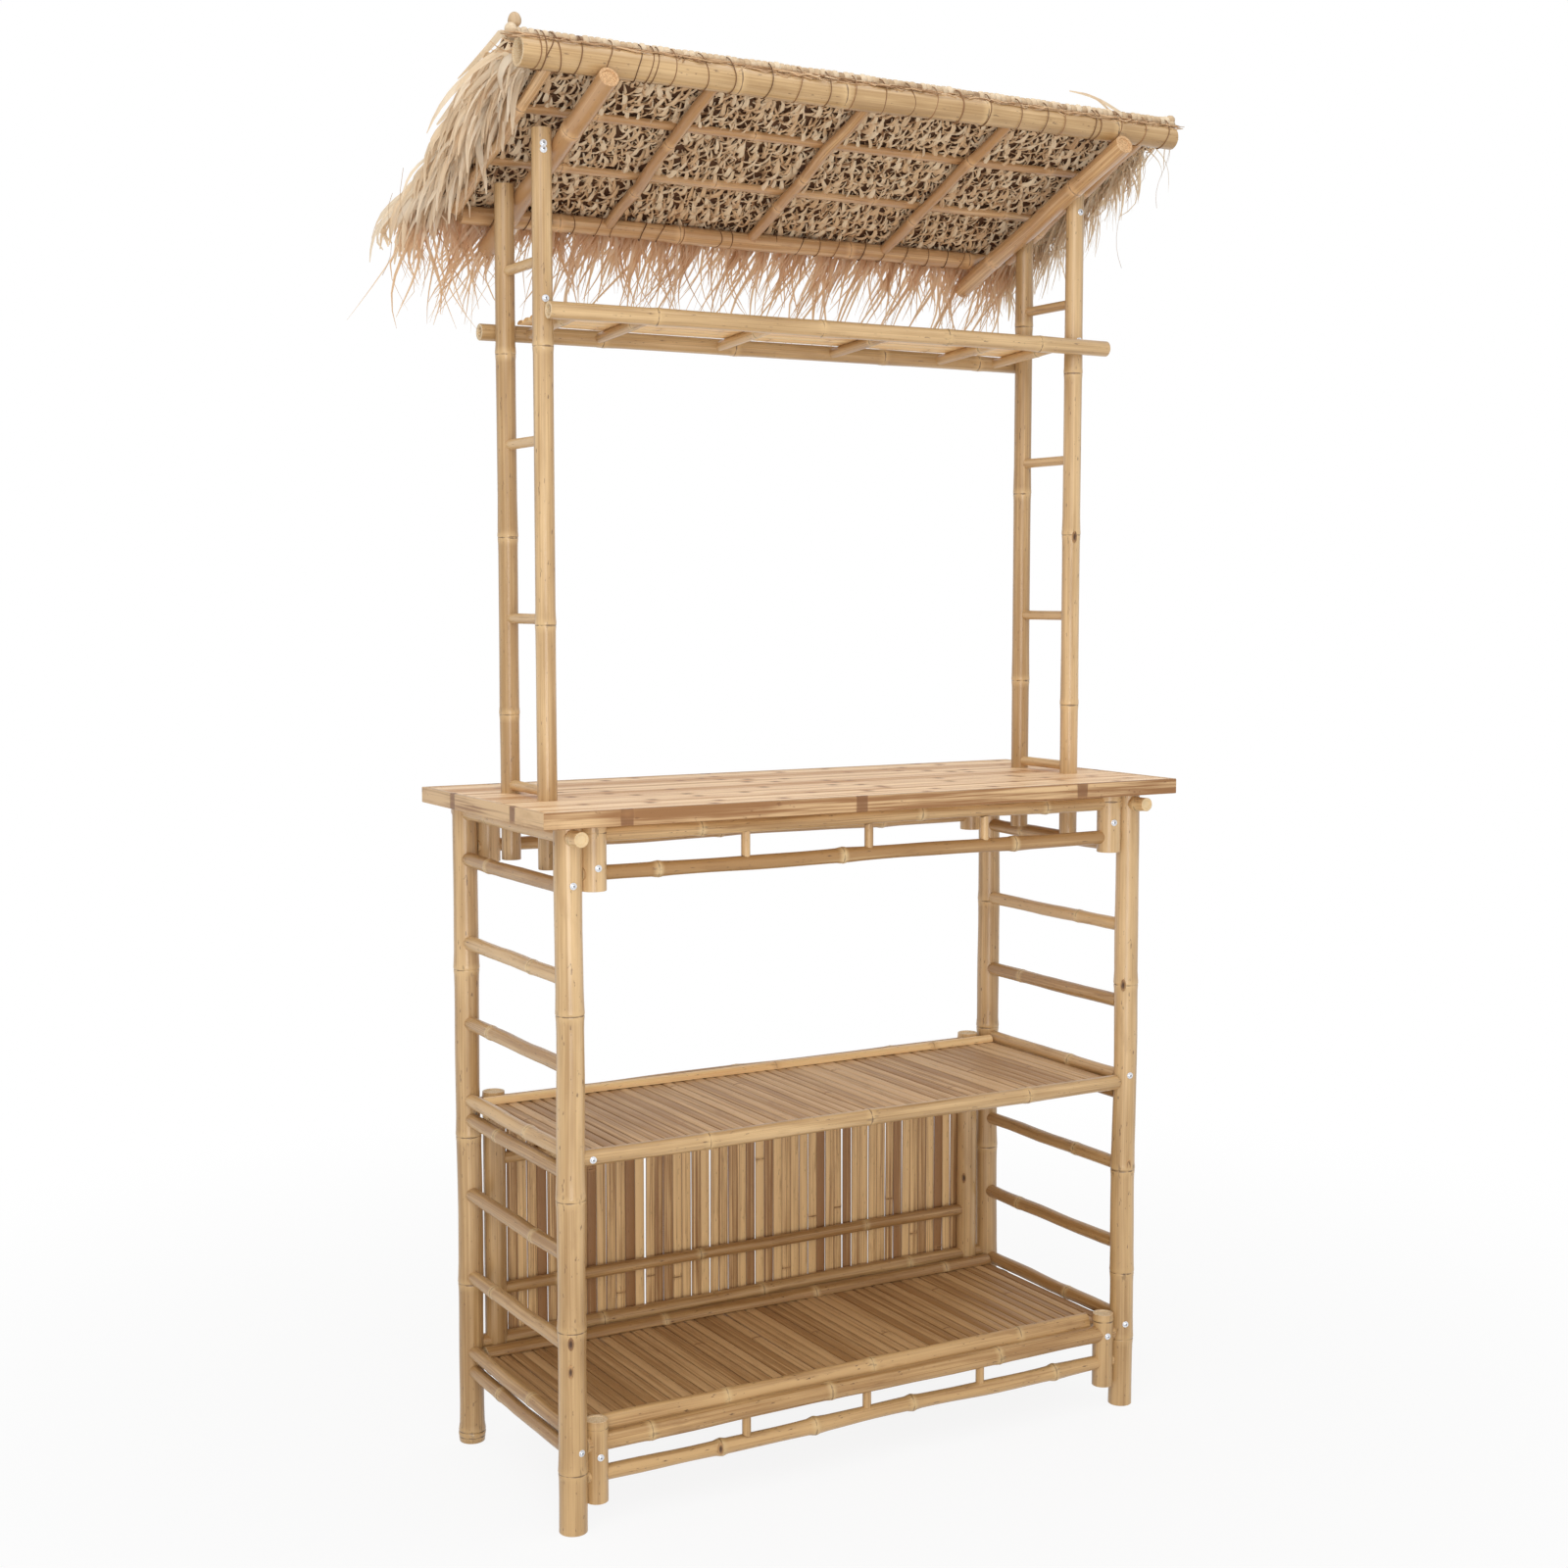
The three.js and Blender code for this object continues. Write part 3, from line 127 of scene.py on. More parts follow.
def sweep(
    paths: Array, ups: Array, offsets: Array, wraps: bool, values: Mapping[str, Array], along: Array,
) -> Surface:
    """Carries an outline along each of several paths.

    At each step of a path T is the direction of travel, N the part of the path's up direction that is square
    to T, and B is T cross N. A point is the step plus its offset's three parts along N, B and T. An outline
    that closes on itself has an even number of points, and rows of faces across it shut both ends.

    Args:
        paths: Paths by steps by XYZ.
        ups: One up direction per path.
        offsets: Paths by steps by outline points by three offsets in metres.
        wraps: Whether the outline closes on itself.
        values: Named values per path, step and outline point; sizes of one are spread.
        along: Paths by steps, the distance used as the second unrolled coordinate.

    Returns:
        All the swept paths as one surface.
    """
    count, steps, _ = paths.shape
    corners = offsets.shape[2]
    travel = unit(np.gradient(paths, axis=1))
    up = ups[:, None, :] + np.zeros_like(travel)
    normal = unit(up - np.sum(up * travel, -1, keepdims=True) * travel)
    side = np.cross(travel, normal)
    frames = np.stack([normal, side, travel], axis=2)
    points = paths[:, :, None, :] + np.einsum("psco,psoa->psca", offsets, frames)

    spans = corners if wraps else corners - 1
    step = np.arange(steps - 1)[:, None]
    corner = np.arange(spans)[None, :]
    first = step * corners + corner
    second = step * corners + (corner + 1) % corners
    cell = np.stack([first, second, second + corners, first + corners], -1).reshape(-1, 4)
    row = np.arange(corners // 2 - 1 if wraps else 0)
    lid = np.stack([row, row + 1, corners - 2 - row, corners - 1 - row], -1)
    cell = np.concatenate([cell, lid[:, ::-1], lid + (steps - 1) * corners])
    faces = (cell[None] + np.arange(count)[:, None, None] * steps * corners).reshape(-1, 4)

    across = np.linspace(0, 1, spans + 1)
    unrolled = np.empty((count, steps - 1, spans, 4, 2))
    unrolled[..., 0, 0] = unrolled[..., 3, 0] = across[None, None, :-1]
    unrolled[..., 1, 0] = unrolled[..., 2, 0] = across[None, None, 1:]
    unrolled[..., 0, 1] = unrolled[..., 1, 1] = along[:, :-1, None]
    unrolled[..., 2, 1] = unrolled[..., 3, 1] = along[:, 1:, None]
    lids = np.full((count, 2, len(row), 4, 2), 0.5)
    lids[..., 1] = along[:, [0, -1], None, None]
    unrolled = np.concatenate([unrolled.reshape(count, -1, 4, 2), lids.reshape(count, -1, 4, 2)], 1)
    spread = {name: np.broadcast_to(value, (count, steps, corners)).reshape(-1) for name, value in values.items()}
    return Surface(points.reshape(-1, 3), faces, unrolled.reshape(-1, 4, 2), spread)


def round_outline(radius: float, sides: int = 28) -> Array:
    """A circle as outline points."""
    turn = np.arange(sides) / sides * FULL_TURN
    return radius * np.stack([np.cos(turn), np.sin(turn)], -1)


def strip_outline(width: float, thickness: float, crown: float = 0.0, sides: int = 16) -> Array:
    """A rounded rectangle whose upper side falls off to its edges.

    Each coordinate is half its size times a root of the cosine or sine of the turn, which squares up the
    circle. The upper points then drop by the crown times the square of their distance from the middle.

    Args:
        width: Size across.
        thickness: Size along the up direction.
        crown: How far the upper side falls at its edges.
        sides: Number of points.

    Returns:
        Outline points, up first and across second.
    """
    turn = np.arange(sides) / sides * FULL_TURN
    high = thickness / 2 * np.sign(np.cos(turn)) * np.abs(np.cos(turn)) ** 0.35
    wide = width / 2 * np.sign(np.sin(turn)) * np.abs(np.sin(turn)) ** 0.6
    drop = np.where(high > 0, crown * (2 * wide / width) ** 2, 0)
    return np.stack([high - drop, wide], -1)


def half_outline(width: float, thickness: float, sides: int = 18) -> Array:
    """A split half of a pole: flat below and round above.

    Args:
        width: Size across.
        thickness: Size from the flat side to the crown.
        sides: Number of points.

    Returns:
        Outline points, up first and across second.
    """
    turn = np.arange(sides) / sides * FULL_TURN
    high = np.where(np.cos(turn) > 0, np.cos(turn) * thickness, np.cos(turn) * 0.0008) - thickness / 2
    return np.stack([high, width / 2 * np.sin(turn)], -1)


def slab_outline(width: float, thickness: float, bevel: float) -> Array:
    """A rectangle with a small slanting edge at each corner.

    Args:
        width: Size across.
        thickness: Size along the up direction.
        bevel: Size of the slanting edges.

    Returns:
        Outline points, up first and across second.
    """
    high, wide = thickness / 2, width / 2
    return np.array([
        [high, 0], [high, wide - bevel], [high - bevel, wide], [bevel - high, wide], [-high, wide - bevel],
        [-high, 0], [-high, bevel - wide], [bevel - high, -wide], [high - bevel, -wide], [high, bevel - wide],
    ])


class End(Enum):
    """How a pole or strip ends."""

    CLOSED = "sawn through at a node"
    HOLLOW = "sawn between nodes, open inside"
    COPED = "hollowed to fit round another pole"


@dataclass(frozen=True)
class Carrier:
    """The pole that a coped end fits round."""

    direction: Array  # The way it runs
    radius: float  # Its half thickness where the two meet


@dataclass(frozen=True)
class NodeShape:
    """How a bamboo node stands out of the wall."""

    ridge: float = 0.0010  # Height of the raised ring
    groove: float = 0.0005  # Depth of the thin line beside it
    reach: float = 0.008  # Half length of the raised ring
    shift: float = 0.003  # Distance between the ring's middle and the line
    line: float = 0.0011  # Half length of the line


def line(axis: int, low: float, high: float, first: float, second: float) -> tuple[Array, Array]:
    """The two ends of a line along one axis.

    Args:
        axis: 0 for X, 1 for Y and 2 for Z.
        low: Where it starts on that axis.
        high: Where it ends.
        first: Its place on the first of the other two axes.
        second: Its place on the second of them.

    Returns:
        The start and the end.
    """
    rest = np.array([first, second], float)
    return np.insert(rest, axis, low), np.insert(rest, axis, high)


@dataclass
class Stick:
    """A straight bamboo pole or split strip."""

    start: Array  # First end of the axis
    end: Array  # Second end of the axis
    outline: Array  # Section points, from one of the outline functions
    up: Array  # Direction of the outline's first axis
    nodes: Row = ()  # Distances of the nodes from the start
    ends: tuple[End, End] = (End.CLOSED, End.CLOSED)  # How each end is finished
    carriers: tuple[Carrier | None, Carrier | None] = (None, None)  # What each coped end fits round
    tone: float = 0.5  # A number from 0 to 1 that sets this stick's own shade
    taper: float = 0.0  # Share by which the second end is thinner
    bow: float = 0.0  # Sideways bend at the middle
    kink: float = 0.0  # How far the axis steps aside at each node in turn
    wander: float = 0.0  # How far the axis strays from a straight line between its ends
    uneven: float = 0.0  # Share by which its thickness changes along it
    wall: float = 0.004  # Thickness of the wall of a hollow end
    bore: float = 0.035  # Depth of a hollow end
    shape: NodeShape = field(default_factory=NodeShape)  # The form of its nodes
    rim: float = 0.0006  # Size of the slanting edge round a sawn end
    sunk: float = 0.0009  # How deep the middle of a closed end lies
    clear: float = 0.0015  # Distance from a coped end to the first ring of the wall

    def __post_init__(self) -> None:
        """Finds the length, the outline's two directions and the travel, half the width and the sorted nodes."""
        axis = self.end - self.start
        self.length = float(np.linalg.norm(axis))
        travel = axis / self.length
        normal = unit(self.up - (self.up @ travel) * travel)
        self.frame = np.stack([normal, np.cross(travel, normal), travel])
        self.size = float(np.abs(self.outline).max())
        self.joints = np.array(sorted(self.nodes), float)

    def _trim(self, which: int, share: float = 1.0) -> Array:
        """How far from its end each outline point starts, so that a coped end fits its carrier.

        With h the point's distance from the plane through both axes and w its distance from the pole's axis
        within that plane, the wall meets a carrier of radius R, crossed at the angle a, at the distance
        (root of (R squared minus h squared) plus or minus w times cosine a) over sine a.

        Args:
            which: 0 for the first end, 1 for the second.
            share: The outline's size as a share of the full one.

        Returns:
            One distance per outline point.
        """
        carrier = self.carriers[which]
        if self.ends[which] is not End.COPED or carrier is None:
            return np.zeros(len(self.outline))
        travel, way = self.frame[2], unit(carrier.direction)
        lean = float(travel @ way)
        cross = math.sqrt(max(1 - lean * lean, TINY))
        spots = share * self.outline @ self.frame[:2]
        out, within = spots @ unit(np.cross(travel, way)), spots @ ((way - lean * travel) / cross)
        reach = np.sqrt(np.maximum(carrier.radius**2 - out**2, (0.35 * carrier.radius) ** 2))
        return (reach + (-1) ** which * within * lean) / cross

    def _cap(self, which: int) -> list[tuple[Array, float, float]]:
        """The rings that close an end, from the wall inward.

        Args:
            which: 0 for the first end, 1 for the second.

        Returns:
            Each ring's distances from the end, its share of the outline and its cut value.
        """
        if self.ends[which] is End.COPED:
            return [(self._trim(which, share), share, 0.0) for share in (1.0, 0.6, 0.02)]
        edge = self.rim / self.size
        inside = 1 - min(self.wall / self.size, 0.6)
        depth = self.rim + (self.bore if self.ends[which] is End.HOLLOW else self.sunk)
        rings = (
            (self.rim, 1.0, 0.0), (0.0, 1 - edge, 0.7), (0.0, inside, 0.8),
            (self.rim, inside - edge, 1.0), (depth, inside - edge, 1.0), (depth, 0.02, 1.0),
        )
        return [(np.full(len(self.outline), distance), share, cut) for distance, share, cut in rings]

    def _places(self) -> Array:
        """Distances of the wall's rings: even steps, some close to each node, and one between nodes.

        Returns:
            The distances in order.
        """
        low, high = self._trim(0).max() + self.clear, self.length - self._trim(1).max() - self.clear
        nodes, spacing = self.joints, 0.028 if self.wander or self.uneven else 0.07
        even = np.linspace(low, high, max(int(self.length / spacing), 2))
        places = np.concatenate([even, (nodes[:, None] + NODE_RINGS).ravel(), (nodes[1:] + nodes[:-1]) / 2])
        return np.unique(np.round(np.clip(places, low, high), 5))

    def _thickness(self, at: Array) -> Array:
        """The wall's size as a share of the outline's.

        At a distance s it is one minus the taper's share of s, plus two slow waves for its unevenness, times
        one plus a bell curve for each node's ring, minus a narrower one for the line beside it.

        Args:
            at: Distances from the start.

        Returns:
            One share per distance.
        """
        shape, away, far = self.shape, at[..., None] - self.joints, at / self.length
        bells = shape.ridge * np.exp(-(((away - shape.shift) / shape.reach) ** 2))
        lines = shape.groove * np.exp(-((away / shape.line) ** 2))
        turn = FULL_TURN * (2.3 * far + 17 * self.tone)
        swell = self.uneven * (np.sin(turn) + 0.7 * np.sin(2.7 * turn))
        return (1 - self.taper * far + swell) * (1 + (bells - lines).sum(-1) / self.size)

    def _stray(self, middle: Array) -> tuple[Array, Array]:
        """How far the axis leaves its straight line: a bow, a step aside at each node and a slow spiral.

        Args:
            middle: Distances from the start.

        Returns:
            The distances along the outline's first and second directions.
        """
        nodes, half_wave = self.joints, np.pi * middle / self.length
        bend = self.bow * np.sin(half_wave) + 0.35 * self.bow * np.sin(3 * half_wave)
        number = np.arange(len(nodes) + 2)
        steps = self.kink * np.sin(np.pi * (number + 0.5)) * (number > 0) * (number < len(nodes) + 1)
        aside = np.interp(middle, np.concatenate([[0.0], nodes, [self.length]]), steps)
        free = self.wander * np.sin(half_wave)
        turn = FULL_TURN * (1.6 * middle / self.length + 23 * self.tone)
        return bend + 0.6 * aside + free * np.sin(turn), aside + free * np.sin(1.7 * turn)

    def surface(self) -> Surface:
        """Builds the wall and both ends, ring by ring, and then moves the rings to the strayed axis.

        Returns:
            The stick's surface, with the values joint, tone and cut.
        """
        (normal, side, travel), nodes, corners = self.frame, self.joints, len(self.outline)
        rings = self._cap(0)[::-1]
        rings += [(np.full(corners, place), 1.0, 0.0) for place in self._places()]
        rings += [(self.length - distance, share, cut) for distance, share, cut in self._cap(1)]
        at, shares, cuts = (np.array(column) for column in zip(*rings))

        middle = at.mean(1)
        spread = shares[:, None] * self._thickness(at)
        offsets = np.concatenate([self.outline[None] * spread[..., None], (at - middle[:, None])[..., None]], -1)
        rise, drift = self._stray(middle)
        centre = self.start + middle[:, None] * travel + rise[:, None] * normal + drift[:, None] * side
        joint = np.abs(at[..., None] - nodes).min(-1) if len(nodes) else np.ones_like(at)
        steady = self.start + np.arange(len(middle))[:, None] * travel
        values = {"joint": joint[None], "tone": np.array(self.tone), "cut": cuts[None, :, None]}
        made = sweep(steady[None], self.up[None], offsets[None], True, values, middle[None])
        made.points += np.repeat(centre - steady, corners, axis=0)
        return made


def strands(paths: Array, ups: Array, sizes: Array, outline: Array, wraps: bool, tones: Array) -> Surface:
    """Carries one small outline along many paths, at a size that changes from root to tip.

    Args:
        paths: Strands by steps by XYZ.
        ups: One up direction per strand.
        sizes: Strands by steps, what the outline is multiplied by.
        outline: Its points, up first and across second.
        wraps: Whether the outline closes on itself.
        tones: One shade per strand.

    Returns:
        The strands, with the values share (root to tip) and tone.
    """
    offsets = sizes[:, :, None, None] * np.pad(outline, ((0, 0), (0, 1)))
    share = np.linspace(0, 1, paths.shape[1])[None, :, None]
    along = np.pad(np.cumsum(np.linalg.norm(np.diff(paths, axis=1), axis=-1), 1), ((0, 0), (1, 0)))
    return sweep(paths, ups, offsets, wraps, {"share": share, "tone": tones[:, None, None]}, along)


def ribbons(paths: Array, ups: Array, widths: Array, fold: float, tones: Array) -> Surface:
    """Leaf blades: narrow sheets whose spine is raised by a share of their width."""
    return strands(paths, ups, widths, np.array([[0.0, 0.5], [fold, 0.0], [0.0, -0.5]]), False, tones)


def tubes(paths: Array, ups: Array, radii: Array, sides: int, flat: float, tones: Array) -> Surface:
    """Rounded strands with the given number of sides, thinner along their up direction by a share."""
    return strands(paths, ups, radii, round_outline(1.0, sides) * np.array([flat, 1.0]), True, tones)


def chain(roots: Array, ways: Array) -> Array:
    """Paths from their first points on: each point is the one before it plus that one's way."""
    steps = np.concatenate([np.zeros_like(ways[:, :1]), ways[:, :-1]], 1)
    return roots[:, None, :] + np.cumsum(steps, 1)


# Finishes

Value = Union["Socket", float, Row]


class Socket:
    """The output of a shader node, which ordinary arithmetic can be written with."""

    def __init__(self, graph: "Graph", output: bpy.types.NodeSocket) -> None:
        """Keeps the graph and the output."""
        self.graph = graph
        self.output = output

    def _math(self, operation: str, *values: Value) -> "Socket":
        """A Math node of the given kind over the given values."""
        return self.graph.node("ShaderNodeMath", dict(enumerate(values)), operation=operation)

    def __add__(self, other: Value) -> "Socket":
        """Sum."""
        return self._math("ADD", self, other)

    def __radd__(self, other: Value) -> "Socket":
        """Sum with a number in front."""
        return self._math("ADD", other, self)

    def __sub__(self, other: Value) -> "Socket":
        """Difference."""
        return self._math("SUBTRACT", self, other)

    def __rsub__(self, other: Value) -> "Socket":
        """Difference from a number."""
        return self._math("SUBTRACT", other, self)

    def __mul__(self, other: Value) -> "Socket":
        """Product."""
        return self._math("MULTIPLY", self, other)

    def __rmul__(self, other: Value) -> "Socket":
        """Product with a number in front."""
        return self._math("MULTIPLY", other, self)

    def cos(self) -> "Socket":
        """Cosine of an angle."""
        return self._math("COSINE", self)

    def sin(self) -> "Socket":
        """Sine of an angle."""
        return self._math("SINE", self)

    def larger(self, other: Value) -> "Socket":
        """The larger of two values."""
        return self._math("MAXIMUM", self, other)

    def absolute(self) -> "Socket":
        """The value without its sign."""
        return self._math("ABSOLUTE", self)

    def ramp(self, low: float, high: float) -> "Socket":
        """A smooth rise from 0 at the low value to 1 at the high one."""
        inputs = {"Value": self, "From Min": low, "From Max": high}
        return self.graph.node("ShaderNodeMapRange", inputs, interpolation_type="SMOOTHSTEP")


class Graph:
    """The node tree of a material or of the world."""

    def __init__(self, block: bpy.types.Material | bpy.types.World, end: str = "ShaderNodeOutputMaterial") -> None:
        """Empties the block's node tree except for its output node."""
        block.use_nodes = True
        self.block, self.tree = block, block.node_tree
        self.tree.nodes.clear()
        self.end = self.tree.nodes.new(end)

    def node(
        self, kind: str, inputs: Mapping[str | int, Value] | None = None, output: str | int = 0, **settings: object,
    ) -> Socket:
        """Adds one node.

        Args:
            kind: The node's Blender type.
            inputs: A value or a Socket for each input, by name or number.
            output: Which output is returned.
            settings: The node's own settings.

        Returns:
            The chosen output.
        """
        made = self.tree.nodes.new(kind)
        for name, value in settings.items():
            setattr(made, name, value)
        for key, value in (inputs or {}).items():
            if isinstance(value, Socket):
                self.tree.links.new(value.output, made.inputs[key])
            else:
                made.inputs[key].default_value = value
        return Socket(self, made.outputs[output])

    def finish(self, shader: Socket) -> bpy.types.Material | bpy.types.World:
        """Links a shader to the output and hands over the material or world."""
        self.tree.links.new(shader.output, self.end.inputs["Surface"])
        return self.block

    def value(self, name: str) -> Socket:
        """A named value of the surface's points."""
        return self.node("ShaderNodeAttribute", output="Fac", attribute_name=name)

    def mix(self, share: Value, first: Value, second: Value) -> Socket:
        """The colour between two others."""
        return self.node("ShaderNodeMix", {0: share, 6: first, 7: second}, output=2, data_type="RGBA")

    def tinted(self, colour: Value, tint: Value) -> Socket:
        """A colour multiplied by another."""
        inputs = {0: 1.0, 6: colour, 7: tint}
        return self.node("ShaderNodeMix", inputs, output=2, data_type="RGBA", blend_type="MULTIPLY")

    def vector(self, x: Value, y: Value, z: Value) -> Socket:
        """A vector from its three parts."""
        return self.node("ShaderNodeCombineXYZ", {0: x, 1: y, 2: z})

    def part(self, vector: Socket, number: int) -> Socket:
        """One part of a vector."""
        return self.node("ShaderNodeSeparateXYZ", {0: vector}, output=number)

    def noise(self, vector: Socket, scale: float = 1.0, detail: float = 2.0, roughness: float = 0.5) -> Socket:
        """Soft noise from about 0.2 to 0.8."""
        inputs = {"Vector": vector, "Scale": scale, "Detail": detail, "Roughness": roughness}
        return self.node("ShaderNodeTexNoise", inputs)

    def bump(self, height: Value, distance: float, strength: float = 1.0) -> Socket:
        """A surface relief of the given height in metres."""
        return self.node("ShaderNodeBump", {"Height": height, "Distance": distance, "Strength": strength})

    def object_place(self) -> Socket:
        """The place on the object in metres."""
        return self.node("ShaderNodeTexCoord", output="Object")

    def unrolled(self) -> tuple[Socket, Socket]:
        """The share of a turn round the piece and the metres along it."""
        place = self.node("ShaderNodeUVMap", uv_map="unrolled")
        return self.part(place, 0), self.part(place, 1)


@dataclass(frozen=True)
class BambooFinish:
    """The look of a bamboo pole or strip."""

    name: str
    pale: Colour  # Colour of the lightest wall
    deep: Colour  # Colour of the darkest wall
    joint: Colour  # Colour of the line at a node
    band: Colour  # Colour beside a node
    stain_and_edge_shade: Colour  # Colour of weathered patches, and of the painted shade along a strip's edges
    cut: Colour  # Colour of a sawn end
    streaks: float = 0.45  # Strength of the lines along the stick
    stains: float = 0.3  # How much of the wall is stained
    flecks: float = 0.6  # Strength of the small dark marks
    line: float = 0.0011  # Half length of the node's dark line
    edge: float = 0.35  # Share of the line's half length at which it starts to fade
    reach: float = 0.014  # How far the band beside a node goes
    spread: float = 0.5  # How much the sticks differ from each other
    roughness: float = 0.42
    coat: float = 0.2  # Strength of the clear lacquer
    mark: float = 0.7  # Strength of the node's dark line
    foot: float = 0.8  # How much painted shade darkens and warms the finish near the floor
    seam: float = 0.0  # Strength of the painted shade along a strip's edges, in the seams between strips

    def build(self) -> bpy.types.Material:
        """Builds the material: lengthwise streaks, clouds, stains, flecks, node lines, sawn ends, painted shade along
        a strip's edges and painted shade near the floor.

        Returns:
            The finished material.
        """
        graph = Graph(bpy.data.materials.new(self.name))
        turn, along = graph.unrolled()
        tone, joint, cut = graph.value("tone"), graph.value("joint"), graph.value("cut")
        angle = turn * FULL_TURN
        across, upward, own = angle.cos(), angle.sin(), tone * 37.0

        def space(round_: float, length: float, shift: float = 0.0) -> Socket:
            """A place on the wall for noise, with its scales round and along the stick."""
            return graph.vector(across * round_ + shift, upward * round_, along * length + own)

        fine = graph.noise(space(8.0, 3.5), detail=3.0, roughness=0.65)
        broad = graph.noise(space(2.6, 1.8, 31.0), detail=2.0)
        silk = graph.noise(space(22.0, 14.0, 3.0), detail=2.0)
        cloud = graph.noise(space(0.9, 5.5, 7.0), detail=3.0)
        patch = graph.noise(space(0.8, 11.0, 13.0), detail=4.0, roughness=0.6)
        fleck = graph.noise(space(4.5, 70.0, 19.0), detail=2.0, roughness=0.6)
        wave = graph.noise(space(1.3, 4.0, 23.0), detail=2.0)

        shade = (cloud - 0.5) * 1.3 + (tone - 0.5) * (2.0 * self.spread) + (fine - 0.5) * (2.2 * self.streaks) + 0.5
        shade = shade + (broad - 0.5) * (1.6 * self.streaks)
        body = graph.mix(shade.ramp(0.0, 1.0), self.deep, self.pale)
        stained = (patch.ramp(0.56, 0.74) * self.stains) * fine.ramp(0.35, 0.6)
        body = graph.mix(stained, body, self.stain_and_edge_shade)
        scar = graph.noise(space(2.4, 34.0, 29.0), detail=3.0, roughness=0.6).ramp(0.6, 0.67)
        marks = fleck.ramp(0.665, 0.72) * self.flecks + scar * (1 - joint.ramp(0.001, 0.015))
        body = graph.mix(marks, body, self.joint)

        far = joint + (wave - 0.5) * 0.005
        beside = (1 - joint.ramp(0.0, self.reach)) * 0.7 * (0.4 + cloud)
        body = graph.mix(beside, body, self.band)
        line = 1 - far.absolute().ramp(self.line * self.edge, self.line)
        body = graph.mix(line * self.mark * broad.ramp(0.25, 0.5), body, self.joint)
        # Painted shade along a strip's edges, in the seams between strips, in the stain colour
        body = graph.mix(upward.absolute().ramp(0.78, 0.99) * self.seam, body, self.stain_and_edge_shade)

        place = graph.object_place()
        # Painted shade: the finish turns darker and warmer towards the floor
        low = (1 - graph.part(place, 2).ramp(0.1, 0.85)) * self.foot
        body = graph.mix(low, body, graph.tinted(body, (0.78, 0.72, 0.62, 1.0)))
        fibre = graph.noise(place, scale=900.0, detail=2.0)
        sawn = graph.mix(fibre.ramp(0.35, 0.65), self.cut, self.band)
        body = graph.mix(cut * 0.85, body, sawn)

        rough = (fine - 0.5) * 0.25 + cut * 0.3 + stained * 0.3 + self.roughness
        relief = (fine * 0.5 + silk * 0.35 - line * 0.9 - marks * 0.6) + fibre * cut
        shader = graph.node(
            "ShaderNodeBsdfPrincipled",
            {
                "Base Color": body,
                "Roughness": rough,
                "Coat Weight": (1 - cut) * self.coat,
                "Coat Roughness": 0.12,
                "IOR": 1.45,
                "Normal": graph.bump(relief, 0.0006, 0.6),
            },
        )
        return graph.finish(shader)


@dataclass(frozen=True)
class LeafFinish:
    """The look of dried palm leaf."""

    name: str
    pale: Colour  # Lightest strands
    middle: Colour  # Most strands
    deep: Colour  # Darkest strands
    tip: Colour  # Colour towards the tips
    tip_share: float = 0.4  # How strongly the tips take their colour
    through: float = 0.25  # Share of the light that passes through a blade
    roughness: float = 0.55

    def build(self) -> bpy.types.Material:
        """Builds the material: a shade per strand, fine veins, dry spots and coloured tips.

        Returns:
            The finished material.
        """
        graph = Graph(bpy.data.materials.new(self.name))
        turn, along = graph.unrolled()
        tone, share = graph.value("tone"), graph.value("share")
        veins = graph.noise(graph.vector(turn * 9.0 + tone * 41.0, tone * 17.0, along * 12.0), detail=2.0)
        dry = graph.noise(graph.vector(turn * 2.0, tone * 53.0, along * 45.0), detail=3.0, roughness=0.6)
        light = ((veins - 0.5) * 0.9 + tone).ramp(0.35, 0.95)
        dark = (1 - ((veins - 0.5) * 0.7 + tone).ramp(0.0, 0.42)) * 0.9
        body = graph.mix(light, self.middle, self.pale)
        body = graph.mix(dark, body, self.deep)
        body = graph.mix(dry.ramp(0.58, 0.75) * 0.5, body, self.deep)
        body = graph.mix(share.ramp(0.25, 1.0) * self.tip_share, body, self.tip)
        normal = graph.bump(veins * 0.7 + dry * 0.3, 0.0005, 0.6)
        blade = graph.node(
            "ShaderNodeBsdfPrincipled",
            {"Base Color": body, "Roughness": (veins - 0.5) * 0.3 + self.roughness, "Normal": normal, "IOR": 1.4},
        )
        glow = graph.node("ShaderNodeBsdfTranslucent", {"Color": self.middle, "Normal": normal})
        return graph.finish(graph.node("ShaderNodeMixShader", {0: self.through, 1: blade, 2: glow}))


@dataclass(frozen=True)
class MetalFinish:
    """The look of a zinc-plated bolt: a bright washer round a darker head, whose dark middle is painted shade in its
    recess.
    """

    name: str
    bright: Colour  # Colour of the washer
    dull: Colour  # Colour of the spots of wear and of the painted shade in the recess

    def build(self) -> bpy.types.Material:
        """Builds the material.

        Returns:
            The finished material.
        """
        graph = Graph(bpy.data.materials.new(self.name))
        spots = graph.noise(graph.object_place(), scale=700.0, detail=3.0)
        # Painted shade: the recess in the middle of the head is dark and less metallic
        recess = graph.value("share").ramp(0.86, 0.92)
        wear_and_recess_shade = (spots.ramp(0.55, 0.7) * 0.5) + recess * 0.9
        shader = graph.node(
            "ShaderNodeBsdfPrincipled",
            {
                "Base Color": graph.mix(wear_and_recess_shade, self.bright, self.dull),
                "Metallic": 0.85 - wear_and_recess_shade * 0.3,
                "Roughness": spots * 0.3 + 0.2,
                "Normal": graph.bump(spots, 0.0001, 0.5),
            },
        )
        return graph.finish(shader)


